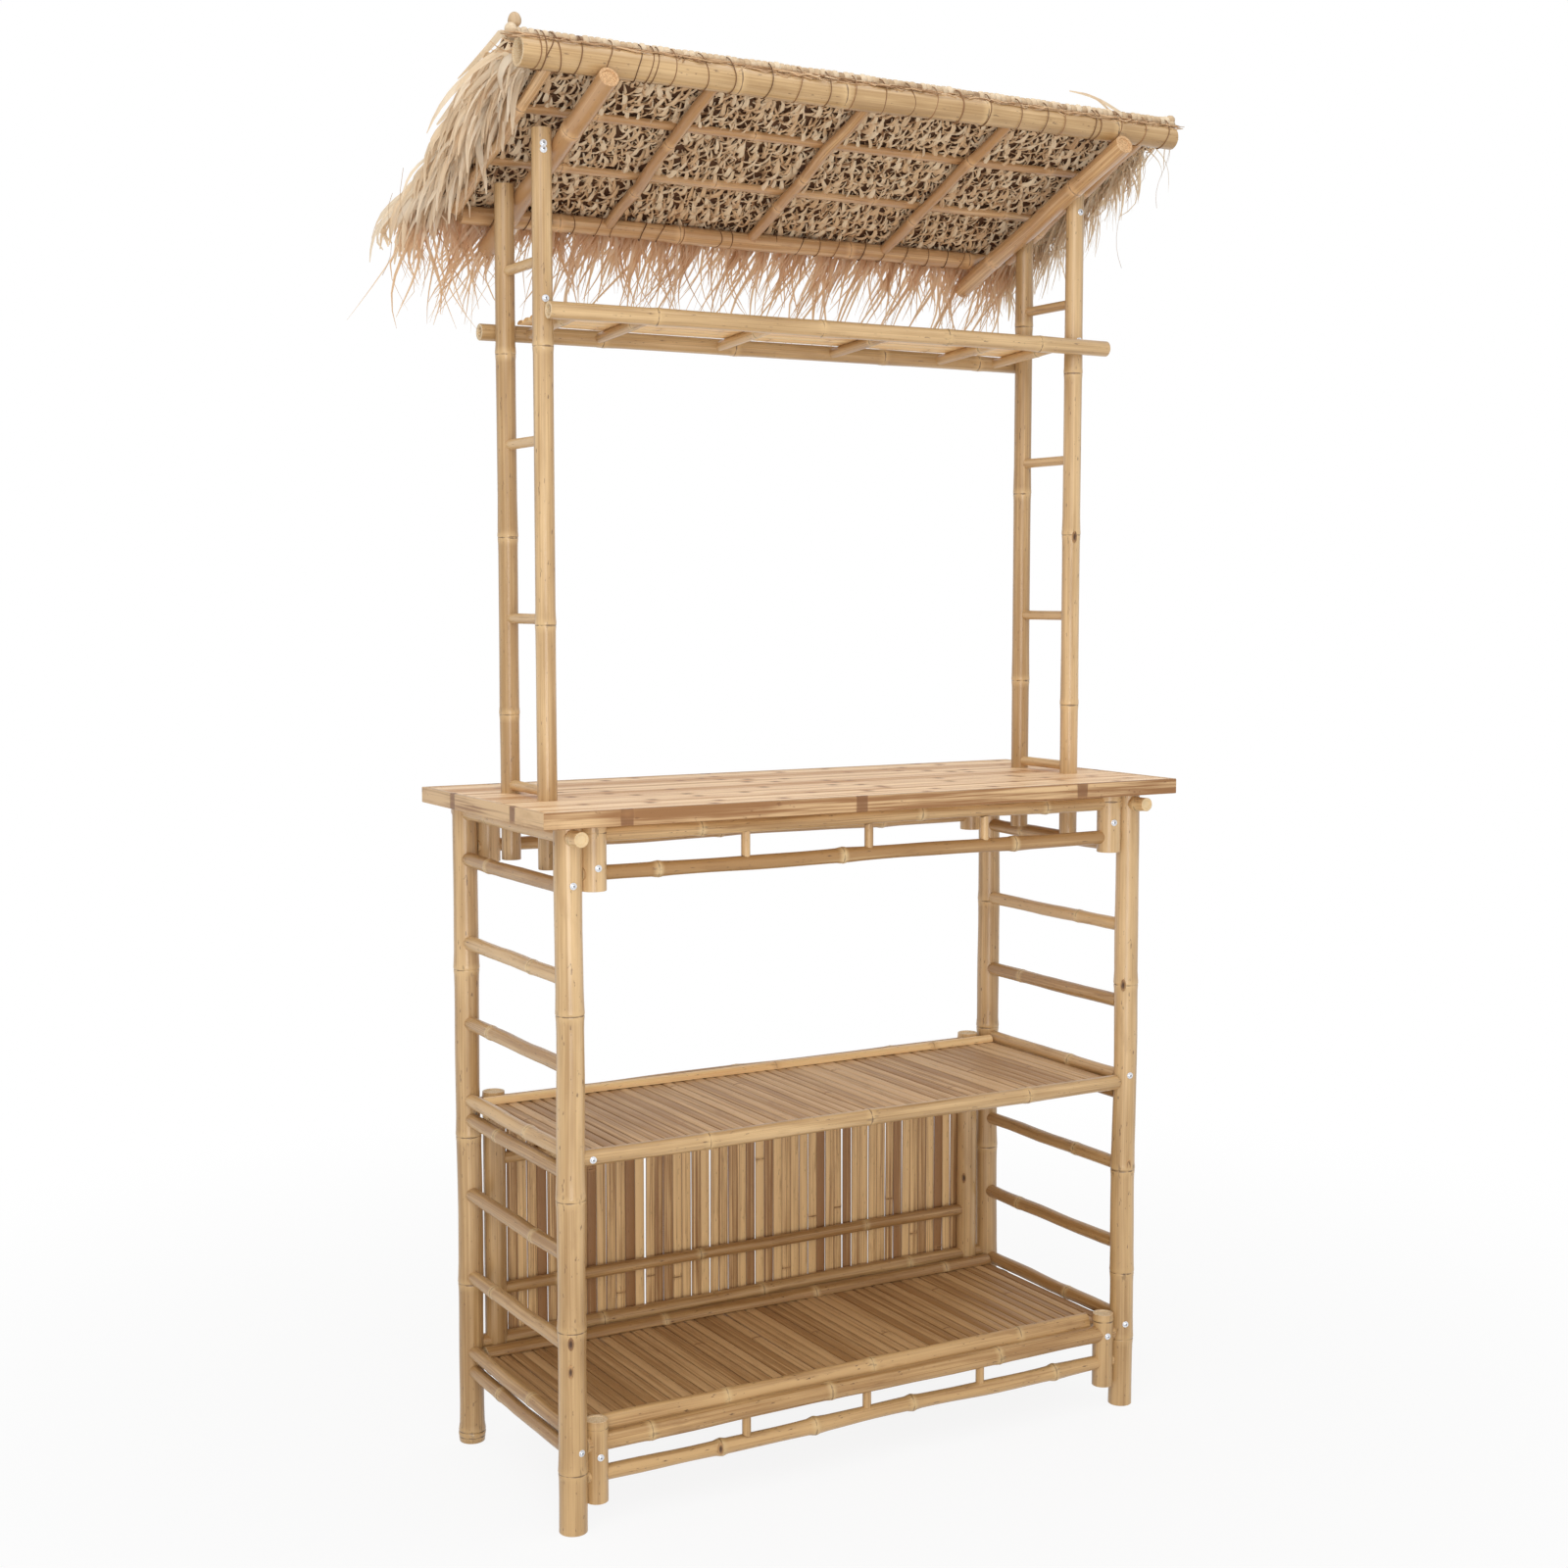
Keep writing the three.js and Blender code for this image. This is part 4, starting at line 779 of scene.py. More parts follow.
POLE = BambooFinish(
    "bamboo pole", paint(218, 184, 136), paint(170, 134, 88), paint(78, 52, 34), paint(216, 182, 132),
    paint(146, 106, 62), paint(242, 228, 200), streaks=0.5, roughness=0.38, coat=0.35,
)
AGED = BambooFinish(
    "roof pole", paint(238, 202, 152), paint(188, 144, 98), paint(96, 62, 40), paint(232, 190, 140),
    paint(156, 106, 68), paint(160, 120, 82), streaks=0.6, stains=0.8, flecks=0.5, spread=0.7, roughness=0.34,
    coat=0.5, mark=0.5,
)
RUNG = BambooFinish(
    "bamboo rung", paint(216, 180, 130), paint(166, 126, 78), paint(84, 56, 36), paint(226, 198, 150),
    paint(132, 92, 54), paint(222, 200, 162), streaks=0.65, stains=0.6, flecks=0.8, reach=0.011, spread=0.7,
    coat=0.25, mark=0.5,
)
COUNTER = BambooFinish(
    "counter edge", paint(218, 182, 136), paint(148, 104, 62), paint(108, 66, 36), paint(176, 128, 80),
    paint(136, 90, 52), paint(206, 170, 122), streaks=1.3, stains=0.3, flecks=0.5, line=0.0105, edge=0.8, reach=0.016,
    spread=0.42, roughness=0.5, coat=0.1,
)
COUNTER_TOP = BambooFinish(
    "counter top", paint(252, 220, 178), paint(198, 144, 88), paint(140, 90, 52), paint(192, 140, 86),
    paint(184, 130, 76), paint(206, 170, 122), streaks=1.4, stains=0.5, flecks=0.2, line=0.011, edge=0.1, reach=0.02,
    spread=0.9, roughness=0.55, coat=0.06,
)
SLAT = BambooFinish(
    "shelf slat", paint(226, 190, 144), paint(178, 138, 92), paint(110, 74, 46), paint(196, 154, 106),
    paint(150, 108, 72), paint(196, 160, 114), streaks=0.9, stains=0.6, flecks=0.4, reach=0.006, spread=0.42,
    roughness=0.55, coat=0.05, foot=1.0, seam=0.45,
)
PANEL = BambooFinish(
    "panel slat", paint(238, 202, 148), paint(158, 116, 74), paint(92, 60, 36), paint(192, 148, 98),
    paint(128, 88, 54), paint(190, 152, 104), streaks=1.0, stains=0.6, flecks=0.4, reach=0.006, spread=0.75,
    roughness=0.5, coat=0.08, foot=0.5, seam=0.75,
)
LATH = BambooFinish(
    "shelf lath", paint(254, 222, 166), paint(238, 192, 134), paint(124, 84, 50), paint(224, 182, 128),
    paint(168, 118, 70), paint(214, 180, 132), streaks=0.8, spread=0.4, coat=0.2, mark=0.4,
)
THATCH = LeafFinish(
    "woven leaf", paint(252, 230, 196), paint(232, 196, 152), paint(146, 104, 70), paint(226, 190, 148),
    tip_share=0.15, through=0.22,
)
# The mat's inner leaves, painted dark for the shade inside the thatch
UNDERLAY_PAINTED_SHADE = LeafFinish(
    "thatch inside, painted shade", paint(120, 86, 58), paint(92, 62, 40), paint(56, 36, 24), paint(84, 58, 42), through=0.02,
    roughness=0.8,
)
ROLL = LeafFinish(
    "ridge wrap", paint(234, 214, 184), paint(208, 180, 144), paint(132, 96, 66), paint(214, 186, 150),
    tip_share=0.0, through=0.1,
)
GABLE = LeafFinish(
    "gable leaf", paint(252, 240, 218), paint(238, 216, 184), paint(172, 138, 104), paint(222, 190, 154),
    tip_share=0.3, through=0.35,
)
FRINGE = LeafFinish(
    "eaves leaf", paint(252, 232, 204), paint(232, 198, 160), paint(174, 130, 94), paint(230, 192, 154),
    tip_share=0.35, through=0.5,
)
SCAR = LeafFinish(
    "branch scar", paint(206, 168, 120), paint(182, 142, 96), paint(120, 84, 56), paint(66, 42, 30), tip_share=0.95,
    through=0.0,
)
CORD = LeafFinish(
    "lashing cord", paint(160, 120, 84), paint(124, 90, 60), paint(76, 52, 36), paint(124, 90, 60), tip_share=0.0,
    through=0.0, roughness=0.7,
)
BOLT = MetalFinish("plated bolt", paint(226, 228, 232), paint(52, 54, 60))

Finish = Union[BambooFinish, LeafFinish, MetalFinish]


class Workshop:
    """Turns surfaces into named pieces that ride on the frame."""

    def __init__(self, nodes: Mapping[str, bpy.types.Object], seed: int = 41) -> None:
        """Keeps the frame's nodes and starts the random numbers."""
        self.nodes = nodes
        self.random = np.random.default_rng(seed)
        self.materials: dict[str, bpy.types.Material] = {}
        self.pieces = 0

    def middle(self, node: str) -> Array:
        """The middle of a node's box."""
        low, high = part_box(node)
        return (np.array(low) + np.array(high)) / 2

    def low(self, node: str) -> Array:
        """The lowest corner of a node's box."""
        return np.array(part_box(node)[0])

    def high(self, node: str) -> Array:
        """The highest corner of a node's box."""
        return np.array(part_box(node)[1])

    def tone(self, middle: float = 0.5, spread: float = 0.25) -> float:
        """A shade for one stick."""
        return float(np.clip(self.random.normal(middle, spread * 0.6), 0, 1))

    def tones(self, middle: float, spread: float, count: int) -> Array:
        """A shade for each of many strands."""
        return np.clip(self.random.normal(middle, spread, count), 0, 1)

    def sticks(
        self, name: str, sticks: Sequence[Stick], finish: Finish, slot: str, replaces: Sequence[str] = (),
    ) -> None:
        """Makes one piece from one stick or several."""
        self.show(name, Surface.joined([stick.surface() for stick in sticks]), finish, slot, replaces)

    def show(
        self, name: str, surface: Surface, finish: Finish, slot: str, replaces: Sequence[str] = (),
        sharp: float = 38.0,
    ) -> None:
        """Makes one piece.

        Args:
            name: The piece's name.
            surface: Its shape.
            finish: Its look.
            slot: A material slot's name, which is not used.
            replaces: Frame nodes that it stands for.
            sharp: Edges steeper than this many degrees stay sharp.
        """
        mesh = bpy.data.meshes.new(name)
        mesh.vertices.add(len(surface.points))
        mesh.vertices.foreach_set("co", surface.points.astype(np.float32).ravel())
        mesh.loops.add(surface.faces.size)
        mesh.loops.foreach_set("vertex_index", surface.faces.astype(np.int32).ravel())
        mesh.polygons.add(len(surface.faces))
        mesh.polygons.foreach_set("loop_start", np.arange(0, surface.faces.size, 4, dtype=np.int32))
        mesh.update(calc_edges=True)
        mesh.uv_layers.new(name="unrolled").data.foreach_set("uv", surface.unrolled.astype(np.float32).ravel())
        for key, values in surface.values.items():
            mesh.attributes.new(key, "FLOAT", "POINT").data.foreach_set("value", values.astype(np.float32))
        mesh.shade_smooth()
        mesh.set_sharp_from_angle(angle=math.radians(sharp))
        if finish.name not in self.materials:
            self.materials[finish.name] = finish.build()
        mesh.materials.append(self.materials[finish.name])
        piece = bpy.data.objects.new(name, mesh)
        bpy.context.scene.collection.objects.link(piece)
        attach(piece, "root")
        if replaces:
            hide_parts(*replaces)
        self.pieces += 1
        LOG.info("%s: %d faces, %s", name, len(surface.faces), finish.name)


# The hut's sub-assemblies

SIDES = (("left", -1), ("right", 1))


@dataclass
class Assembly:
    """A part of the hut."""

    shop: Workshop  # Makes its pieces


@dataclass
class LegFrame(Assembly):
    """The four legs with the bearers, side rungs and shelf end poles between them."""

    # Name, half thickness, shade and heights of the nodes of each leg
    legs: Sequence[tuple[str, float, float, Row]] = (
        ("front_left", 0.0207, 0.62, (0.089, 0.298, 0.489, 0.756)),
        ("rear_left", 0.0196, 0.36, (0.009, 0.017, 0.259, 0.496, 0.763)),
        ("front_right", 0.0194, 0.62, (0.113, 0.225, 0.399, 0.709)),
        ("rear_right", 0.0196, 0.36, (0.14, 0.35, 0.57, 0.8)),
    )
    rung_radius: float = 0.011
    rung_nodes: Row = (0.31, 0.72)  # Places of a rung's node, by turns, as shares of its length
    # The same for the poles at the shelves' ends
    shelf_nodes: Sequence[tuple[str, float]] = (("end_pole", 0.36), ("support", 0.66))
    rung_length: float = 0.39

    def build(self) -> None:
        """Makes every pole of the leg frames."""
        shop = self.shop
        for corner, radius, tone, nodes in self.legs:
            node = f"leg_{corner}"
            x, y, _ = shop.middle(node)
            leg = Stick(
                *line(2, 0.0, shop.high(node)[2], x, y), round_outline(radius, 36), X_AXIS, nodes,
                tone=shop.tone(tone, 0.12), taper=0.03, bow=0.0008, kink=0.0009, wander=0.001, uneven=0.012,
                wall=0.006, shape=NodeShape(0.0012, 0.0006, 0.01, 0.003),
            )
            shop.sticks(f"pole_{node}", [leg], POLE, "culm", [node])
        for side, _ in SIDES:
            self._rung(f"bearer_{side}", End.CLOSED, (0.02, 0.335))
            for number in range(1, 6):
                self._rung(f"rung_{side}_{number}", End.COPED, (self.rung_nodes[number % 2] * self.rung_length,))
            for shelf in ("mid", "bottom"):
                for kind, share in self.shelf_nodes:
                    self._rung(f"shelf_{shelf}_{kind}_{side}", End.COPED, (share * self.rung_length,))

    def _rung(self, node: str, end: End, nodes: Row) -> None:
        """Makes one pole that runs from front to rear.

        Args:
            node: The frame node it stands for.
            end: How both ends are finished.
            nodes: Distances of its bamboo nodes from the front end.
        """
        shop = self.shop
        x, _, z = shop.middle(node)
        near, far = shop.low(node)[1], shop.high(node)[1]
        if end is End.COPED:
            near, far = shop.middle("leg_front_left")[1], shop.middle("leg_rear_left")[1]
        carrier = Carrier(Z_AXIS, min(radius for _, radius, _, _ in self.legs))
        rung = Stick(
            *line(1, near, far, x, z), round_outline(self.rung_radius * shop.random.uniform(0.96, 1.03)), Z_AXIS,
            nodes, (end,) * 2, (carrier,) * 2, tone=shop.tone(0.5, 0.3), bow=shop.random.normal(0, 0.0008),
            kink=0.0009, wander=0.0005, uneven=0.018, wall=0.0035,
        )
        shop.sticks(f"pole_{node}", [rung], RUNG, "rung", [node])


@dataclass
class Counter(Assembly):
    """The counter top: eight wide strips framed by four mitred laths."""

    strips: int = 8  # Number of strips from front to rear
    lamellae: int = 3  # Number of narrow splits glued side by side in each strip
    lath: float = 0.008  # Thickness of the laths round the edge
    gap: float = 0.0012  # Width of the seam between strips
    fine_gap: float = 0.3  # Width of the seam between the splits of a strip, as a share of the other
    sunk: float = 0.0006  # How much lower than the laths the strips' upper side lies
    node_span: float = 1.08  # Length from the left end over which the strips have nodes
    front_nodes: Row = (-0.431, -0.044, 0.367)  # Places of the node bands on the front lath
    mitre_reach: float = 0.03  # Length of a lath over which its corner cut takes up its points

    def build(self) -> None:
        """Makes the strips and the laths."""
        shop = self.shop
        low, high = shop.low("counter_deck"), shop.high("counter_deck")
        near, far = shop.low("counter_front_lath")[1], shop.high("counter_rear_lath")[1]
        thickness, level = high[2] - low[2], (high[2] + low[2]) / 2
        front, rear = near + self.lath, far - self.lath
        pitch = (rear - front) / self.strips
        sticks = []
        for number in range(self.strips * self.lamellae):
            y = front + (number + 0.5) * pitch / self.lamellae
            seam = self.gap * (1 if number % self.lamellae in (0, self.lamellae - 1) else self.fine_gap)
            nodes = np.arange(shop.random.uniform(0.05, 0.4), self.node_span, shop.random.uniform(0.3, 0.42))
            sticks.append(Stick(
                *line(0, low[0] + self.lath, high[0] - self.lath, y, level - self.sunk / 2),
                slab_outline(pitch / self.lamellae - seam, thickness - self.sunk, 0.0005), Z_AXIS, nodes,
                tone=shop.tone(0.6, 0.3), shape=NodeShape(0.0, 0.0001, 0.005, 0.0),
            ))
        shop.sticks("counter_strips", sticks, COUNTER_TOP, "counter", ["counter_deck"])
        corners = [[low[0], near, 0.0], [high[0], near, 0.0], [high[0], far, 0.0], [low[0], far, 0.0]]
        for name, first, tone, nodes in (
            ("front", 0, 0.2, [place - low[0] for place in self.front_nodes]), ("rear", 2, 0.5, [0.2, 0.62, 1.0]),
            ("left", 3, 0.9, [0.13, 0.36]), ("right", 1, 0.6, [0.2, 0.41]),
        ):
            start, end = np.array(corners[first]), np.array(corners[(first + 1) % 4])
            edge = self._edge(start, end, level, thickness, nodes, tone)
            replaced = [f"counter_{name}_lath"] if name in ("front", "rear") else []
            shop.show(f"counter_{name}_edge", edge, COUNTER, "counter", replaced)

    def _edge(
        self, start: Array, end: Array, level: float, thickness: float, nodes: Row, tone: float,
    ) -> Surface:
        """One edge lath whose ends are cut at half a right angle.

        A point near either end moves towards the middle by its depth from the outer side, and the move fades
        out over the mitre's reach.

        Args:
            start: The outer corner where it starts, its inner side to the left of its travel.
            end: The outer corner where it ends.
            level: Height of its middle.
            thickness: Its height.
            nodes: Distances of its nodes from the start.
            tone: Its shade, from 0 to 1.

        Returns:
            The lath's surface.
        """
        travel = unit(end - start)
        inward = np.cross(Z_AXIS, travel)
        shift = inward * self.lath / 2 + Z_AXIS * level
        made = Stick(
            start + shift, end + shift, slab_outline(self.lath, thickness, 0.0008), Z_AXIS, nodes,
            tone=tone, shape=NodeShape(0.0, 0.0002, 0.005, 0.0), wall=0.003,
        ).surface()
        depth = np.clip((made.points - start) @ inward, 0, self.lath)
        from_start, to_end = (made.points - start) @ travel, (end - made.points) @ travel
        near, far = (np.clip(1 - reach / self.mitre_reach, 0, 1) for reach in (from_start, to_end))
        made.points += (depth * (near - far))[:, None] * travel
        return made


@dataclass(frozen=True)
class RailSpec:
    """One long rail."""

    name: str
    y: float  # Its place from front to rear
    z: float
    half: float
    radius: float
    nodes: Row  # Places of its nodes along X
    rough: float = 1.0  # How crooked and knobby it is
    end: End = End.CLOSED  # How its ends are finished
    carrier: float = 0.02  # Radius of the poles its coped ends fit round


@dataclass
class Rails(Assembly):
    """The rails, posts and spindles under the counter and round the shelves."""

    spindle_radius: float = 0.0068
    spindles: Row = (-0.214, 0.0, 0.214)  # Places of the spindles along X
    inner: float = 0.4804  # Half the length of the rails between the posts
    upper: float = 1.0108  # Height of the aprons' upper rails
    lower: float = 0.956  # Height of their lower rails
    apron_radius: float = 0.0108
    # Half thickness of the posts of the front and the rear apron, and of the front one's margin
    apron_posts: Triple = (0.0192, 0.019, 0.0197)
    foot_upper: float = 0.1255  # Height of the rail under the bottom shelf
    foot_lower: float = 0.078  # Height of the rail below it
    foot_post: Pair = (0.0172, 0.0178)  # Half thickness of the posts at the foot, and of their margin

    def rail(self, spec: RailSpec, finish: BambooFinish, replaced: Sequence[str] = ()) -> None:
        """Makes one rail along X.

        Args:
            spec: Its sizes.
            finish: Its look.
            replaced: Frame nodes that it stands for.
        """
        shop, rough = self.shop, spec.rough
        stick = Stick(
            *line(0, -spec.half, spec.half, spec.y, spec.z), round_outline(spec.radius), Z_AXIS,
            [place + spec.half for place in spec.nodes], (spec.end,) * 2, (Carrier(Z_AXIS, spec.carrier),) * 2,
            tone=shop.tone(0.5, 0.25), bow=shop.random.normal(0, 0.0008), kink=0.001 * rough, wander=0.0007 * rough,
            uneven=0.018 * rough, shape=NodeShape(0.0011 * rough, 0.0005, 0.007, 0.002),
        )
        shop.sticks(spec.name, [stick], finish, "rung", replaced)

    def post(
        self, name: str, x: float, y: float, low: float, high: float, radius: float, replaced: Sequence[str] = (),
    ) -> None:
        """Makes one short upright post with a node near its top.

        Args:
            name: The piece's name.
            x: Its place along X.
            y: Its place from front to rear.
            low: Its foot's height.
            high: Its top's height.
            radius: Half thickness.
            replaced: Frame nodes that it stands for.
        """
        stick = Stick(
            *line(2, low, high, x, y), round_outline(radius, 32), X_AXIS, (high - low - 0.012,),
            tone=self.shop.tone(0.6, 0.15), wall=0.004, shape=NodeShape(0.0007, 0.0003, 0.005, 0.002),
        )
        self.shop.sticks(name, [stick], POLE, "culm", replaced)

    def bars(self, name: str, y: float, low: float, high: float, radius: float) -> None:
        """Makes the spindles between two rails.

        Args:
            name: The piece's name.
            y: Their place from front to rear.
            low: Height of the lower rail's axis.
            high: Height of the upper rail's axis.
            radius: Half thickness of the rails.
        """
        outline, carrier = round_outline(self.spindle_radius, 20), Carrier(X_AXIS, radius)
        sticks = [
            Stick(
                *line(2, low, high, x, y), outline, X_AXIS, (), (End.COPED,) * 2, (carrier,) * 2,
                tone=self.shop.tone(0.6, 0.2),
            )
            for x in self.spindles
        ]
        self.shop.sticks(name, sticks, RUNG, "rung")

    def build(self) -> None:
        """Makes the aprons, the foot rails and the front rail of the middle shelf."""
        shop, inner = self.shop, self.inner
        front, rear = shop.middle("leg_front_left")[1], shop.middle("leg_rear_left")[1]
        thick, rear_thick, margin = self.apron_posts
        x = shop.high("apron_post_right")[0] - margin
        low, high = shop.low("apron_post_left")[2], shop.high("apron_post_left")[2]
        for side, sign in SIDES:
            self.post(f"pole_apron_post_{side}", sign * x, front, low, high, thick, [f"apron_post_{side}"])
            self.post(f"pole_rear_apron_post_{side}", sign * x, rear, low, high, rear_thick)
        for name, y, replaced in (("apron", front, "apron_rails"), ("rear_apron", rear, "rear_apron")):
            for kind, z, nodes, stands_for in (
                ("upper", self.upper, (-0.29, 0.09, 0.33), [replaced]),
                ("lower", self.lower, (-0.36, -0.05, 0.27), []),
            ):
                spec = RailSpec(f"{name}_{kind}_rail", y, z, inner, self.apron_radius, nodes, 1.6)
                self.rail(spec, RUNG, stands_for)
            self.bars(f"{name}_spindles", y, self.lower, self.upper, self.apron_radius)

        thick, margin = self.foot_post
        x = shop.high("foot_post_right")[0] - margin
        low, high = shop.low("foot_post_left")[2], shop.high("foot_post_left")[2]
        for side, sign in SIDES:
            self.post(f"pole_foot_post_{side}", sign * x, front, low, high, thick, [f"foot_post_{side}"])
        spec = RailSpec("foot_shelf_rail", front, self.foot_upper, inner, 0.0138, (-0.377, -0.071, 0.247), 1.3)
        self.rail(spec, RUNG, ["foot_rails"])
        nodes = (-0.259, -0.1, 0.083, 0.357)
        self.rail(RailSpec("foot_lower_rail", front, self.foot_lower, inner, 0.0115, nodes, 2.2), RUNG)
        self.bars("foot_spindles", front, self.foot_lower, self.foot_upper, 0.0102)
        level, nodes = shop.middle("shelf_mid_front_rail")[2], (-0.279, 0.0, 0.3)
        spec = RailSpec("mid_shelf_front_pole", front, level, 0.5, 0.0122, nodes, end=End.COPED)
        self.rail(spec, POLE, ["shelf_mid_front_rail"])


@dataclass
class Shelves(Assembly):
    """The two slatted shelves and the panel of upright slats behind the lower space."""

    half: float = 0.4875  # Half the length of a row of slats
    slats: int = 50
    slat_thickness: float = 0.0065
    batten: Pair = (0.024, 0.0078)  # Width and thickness of a batten under the slats
    batten_half: float = 0.497
    batten_y: Row = (-0.13, 0.13)  # Places of the battens
    tops: Pair = (0.550, 0.143)  # Heights of the upper sides of the middle and the bottom shelf
    slat_shape: NodeShape = NodeShape(0.0004, 0.0003, 0.003, 0.001)  # The form of the nodes of slats
    panel_half: float = 0.4485  # Half the width of the panel's slats together
    panel_z: Pair = (0.1415, 0.551)  # Heights of their ends
    panel_slats: int = 51
    panel_gap: float = 0.0133  # How far behind its rails' axes the panel's slats are
    panel_post: float = 0.0176  # Half thickness of the panel's posts
    panel_post_x: float = 0.457  # Their places to either side
    panel_post_z: Pair = (0.11, 0.563)  # Heights of their ends
    open_seams: Sequence[int] = (8, 15, 22, 36, 42, 44, 49)  # Slats beside which the light shows through
    open_gap: float = 0.0012  # Width of such a seam at its foot

    def shelf(self, name: str, top: float, replaced: str) -> None:
        """Makes one shelf of crowned slats on two battens.

        Args:
            name: Start of the pieces' names.
            top: Height of the slats' upper side.
            replaced: The frame node it stands for.
        """
        shop, draw, thickness = self.shop, self.shop.random, self.slat_thickness
        near, far = shop.low(replaced)[1], shop.high(replaced)[1]
        pitch = 2 * self.half / self.slats
        sticks = []
        for number in range(self.slats):
            x = -self.half + (number + 0.5) * pitch + draw.normal(0, 0.0003)
            width = pitch - abs(draw.normal(0.0008, 0.0005))
            z = top - thickness / 2 - abs(draw.normal(0, 0.0004))
            nodes = [draw.uniform(0.03, 0.33)] if number % 5 == 1 else []
            start = np.array([x, near + draw.uniform(0, 0.0012), z])
            end = np.array([x + draw.normal(0, 0.0006), far - draw.uniform(0, 0.0015), z])
            sticks.append(Stick(
                start, end, strip_outline(width, thickness, 0.0011), Z_AXIS, nodes, tone=shop.tone(0.5, 0.45),
                shape=self.slat_shape, wall=0.002,
            ))
        shop.sticks(f"{name}_slats", sticks, SLAT, "shelf_slat", [replaced])
        level = top - thickness - 0.004
        battens = [
            Stick(
                *line(0, -self.batten_half, self.batten_half, y, level), strip_outline(*self.batten), Z_AXIS,
                (0.17, 0.52, 0.86), tone=shop.tone(0.4, 0.3), wall=0.002,
            )
            for y in self.batten_y
        ]
        shop.sticks(f"{name}_battens", battens, RUNG, "shelf_slat")

    def panel(self) -> None:
        """Makes the panel: two posts, four rails and the upright slats behind them."""
        shop, draw, half = self.shop, self.shop.random, self.panel_half
        rear, rails = shop.middle("leg_rear_left")[1], Rails(shop)
        for side, sign in SIDES:
            x = sign * self.panel_post_x
            rails.post(f"pole_panel_post_{side}", x, rear, *self.panel_post_z, self.panel_post)
        for name, z, reach, end, radius, nodes in (
            ("top", 0.545, 0.5, End.COPED, 0.0105, (-0.31, -0.02, 0.29)),
            ("upper", 0.4529, self.panel_post_x, End.CLOSED, 0.0096, (-0.22, 0.12, 0.37)),
            ("lower", 0.240, self.panel_post_x, End.CLOSED, 0.0096, (-0.35, -0.09, 0.24)),
            ("bottom", 0.1575, 0.5, End.COPED, 0.0125, (-0.27, 0.03, 0.33)),
        ):
            rails.rail(RailSpec(f"panel_{name}_rail", rear, z, reach, radius, nodes, end=end), RUNG)
        low, high = self.panel_z
        pitch = 2 * half / self.panel_slats
        sticks = []
        for number in range(self.panel_slats):
            x = -half + (number + 0.5) * pitch + draw.normal(0, 0.0002)
            gapped = number in self.open_seams
            gap = self.open_gap if gapped else abs(draw.normal(0.0002, 0.0002))
            slant = draw.choice([-0.0024, 0.0022]) if gapped else draw.normal(0, 0.0003)
            y = rear + self.panel_gap + draw.normal(0, 0.0006)
            start, end = np.array([x, y, low + draw.uniform(-0.001, 0.001)]), np.array([x + slant, y, high])
            nodes = [draw.uniform(0.03, 0.37)] if number % 3 == 0 else []
            sticks.append(Stick(
                start, end, strip_outline(pitch - gap, 0.005, 0.0018), -Y_AXIS, nodes, tone=shop.tone(0.55, 0.55),
                shape=self.slat_shape, wall=0.0015,
            ))
        shop.sticks("panel_slats", sticks, PANEL, "panel_slat", ["back_panel"])

    def build(self) -> None:
        """Makes both shelves, their edge laths and the panel."""
        shop = self.shop
        for place, top in zip(("mid", "bottom"), self.tops):
            self.shelf(f"{place}_shelf", top, f"shelf_{place}_slats")
        for name, y, z, half, size, nodes, finish in (
            ("mid_shelf_rear_lath", 0.1665, 0.5555, 0.486, (0.02, 0.0105), (-0.33, 0.04, 0.36), LATH),
            ("bottom_shelf_rear_lath", 0.1705, 0.1505, 0.486, (0.027, 0.0135), (-0.17, 0.12, 0.39), RUNG),
            ("bottom_shelf_front_lath", -0.172, 0.1455, 0.4445, (0.026, 0.021), (-0.238, 0.02, 0.304), RUNG),
        ):
            lath = Stick(
                *line(0, -half, half, y, z), half_outline(*size), Z_AXIS, [place + half for place in nodes],
                tone=shop.tone(0.5, 0.2), uneven=0.025, wall=0.002, shape=NodeShape(0.0012, 0.0004, 0.007, 0.002),
            )
            shop.sticks(name, [lath], finish, "shelf_slat")
        self.panel()


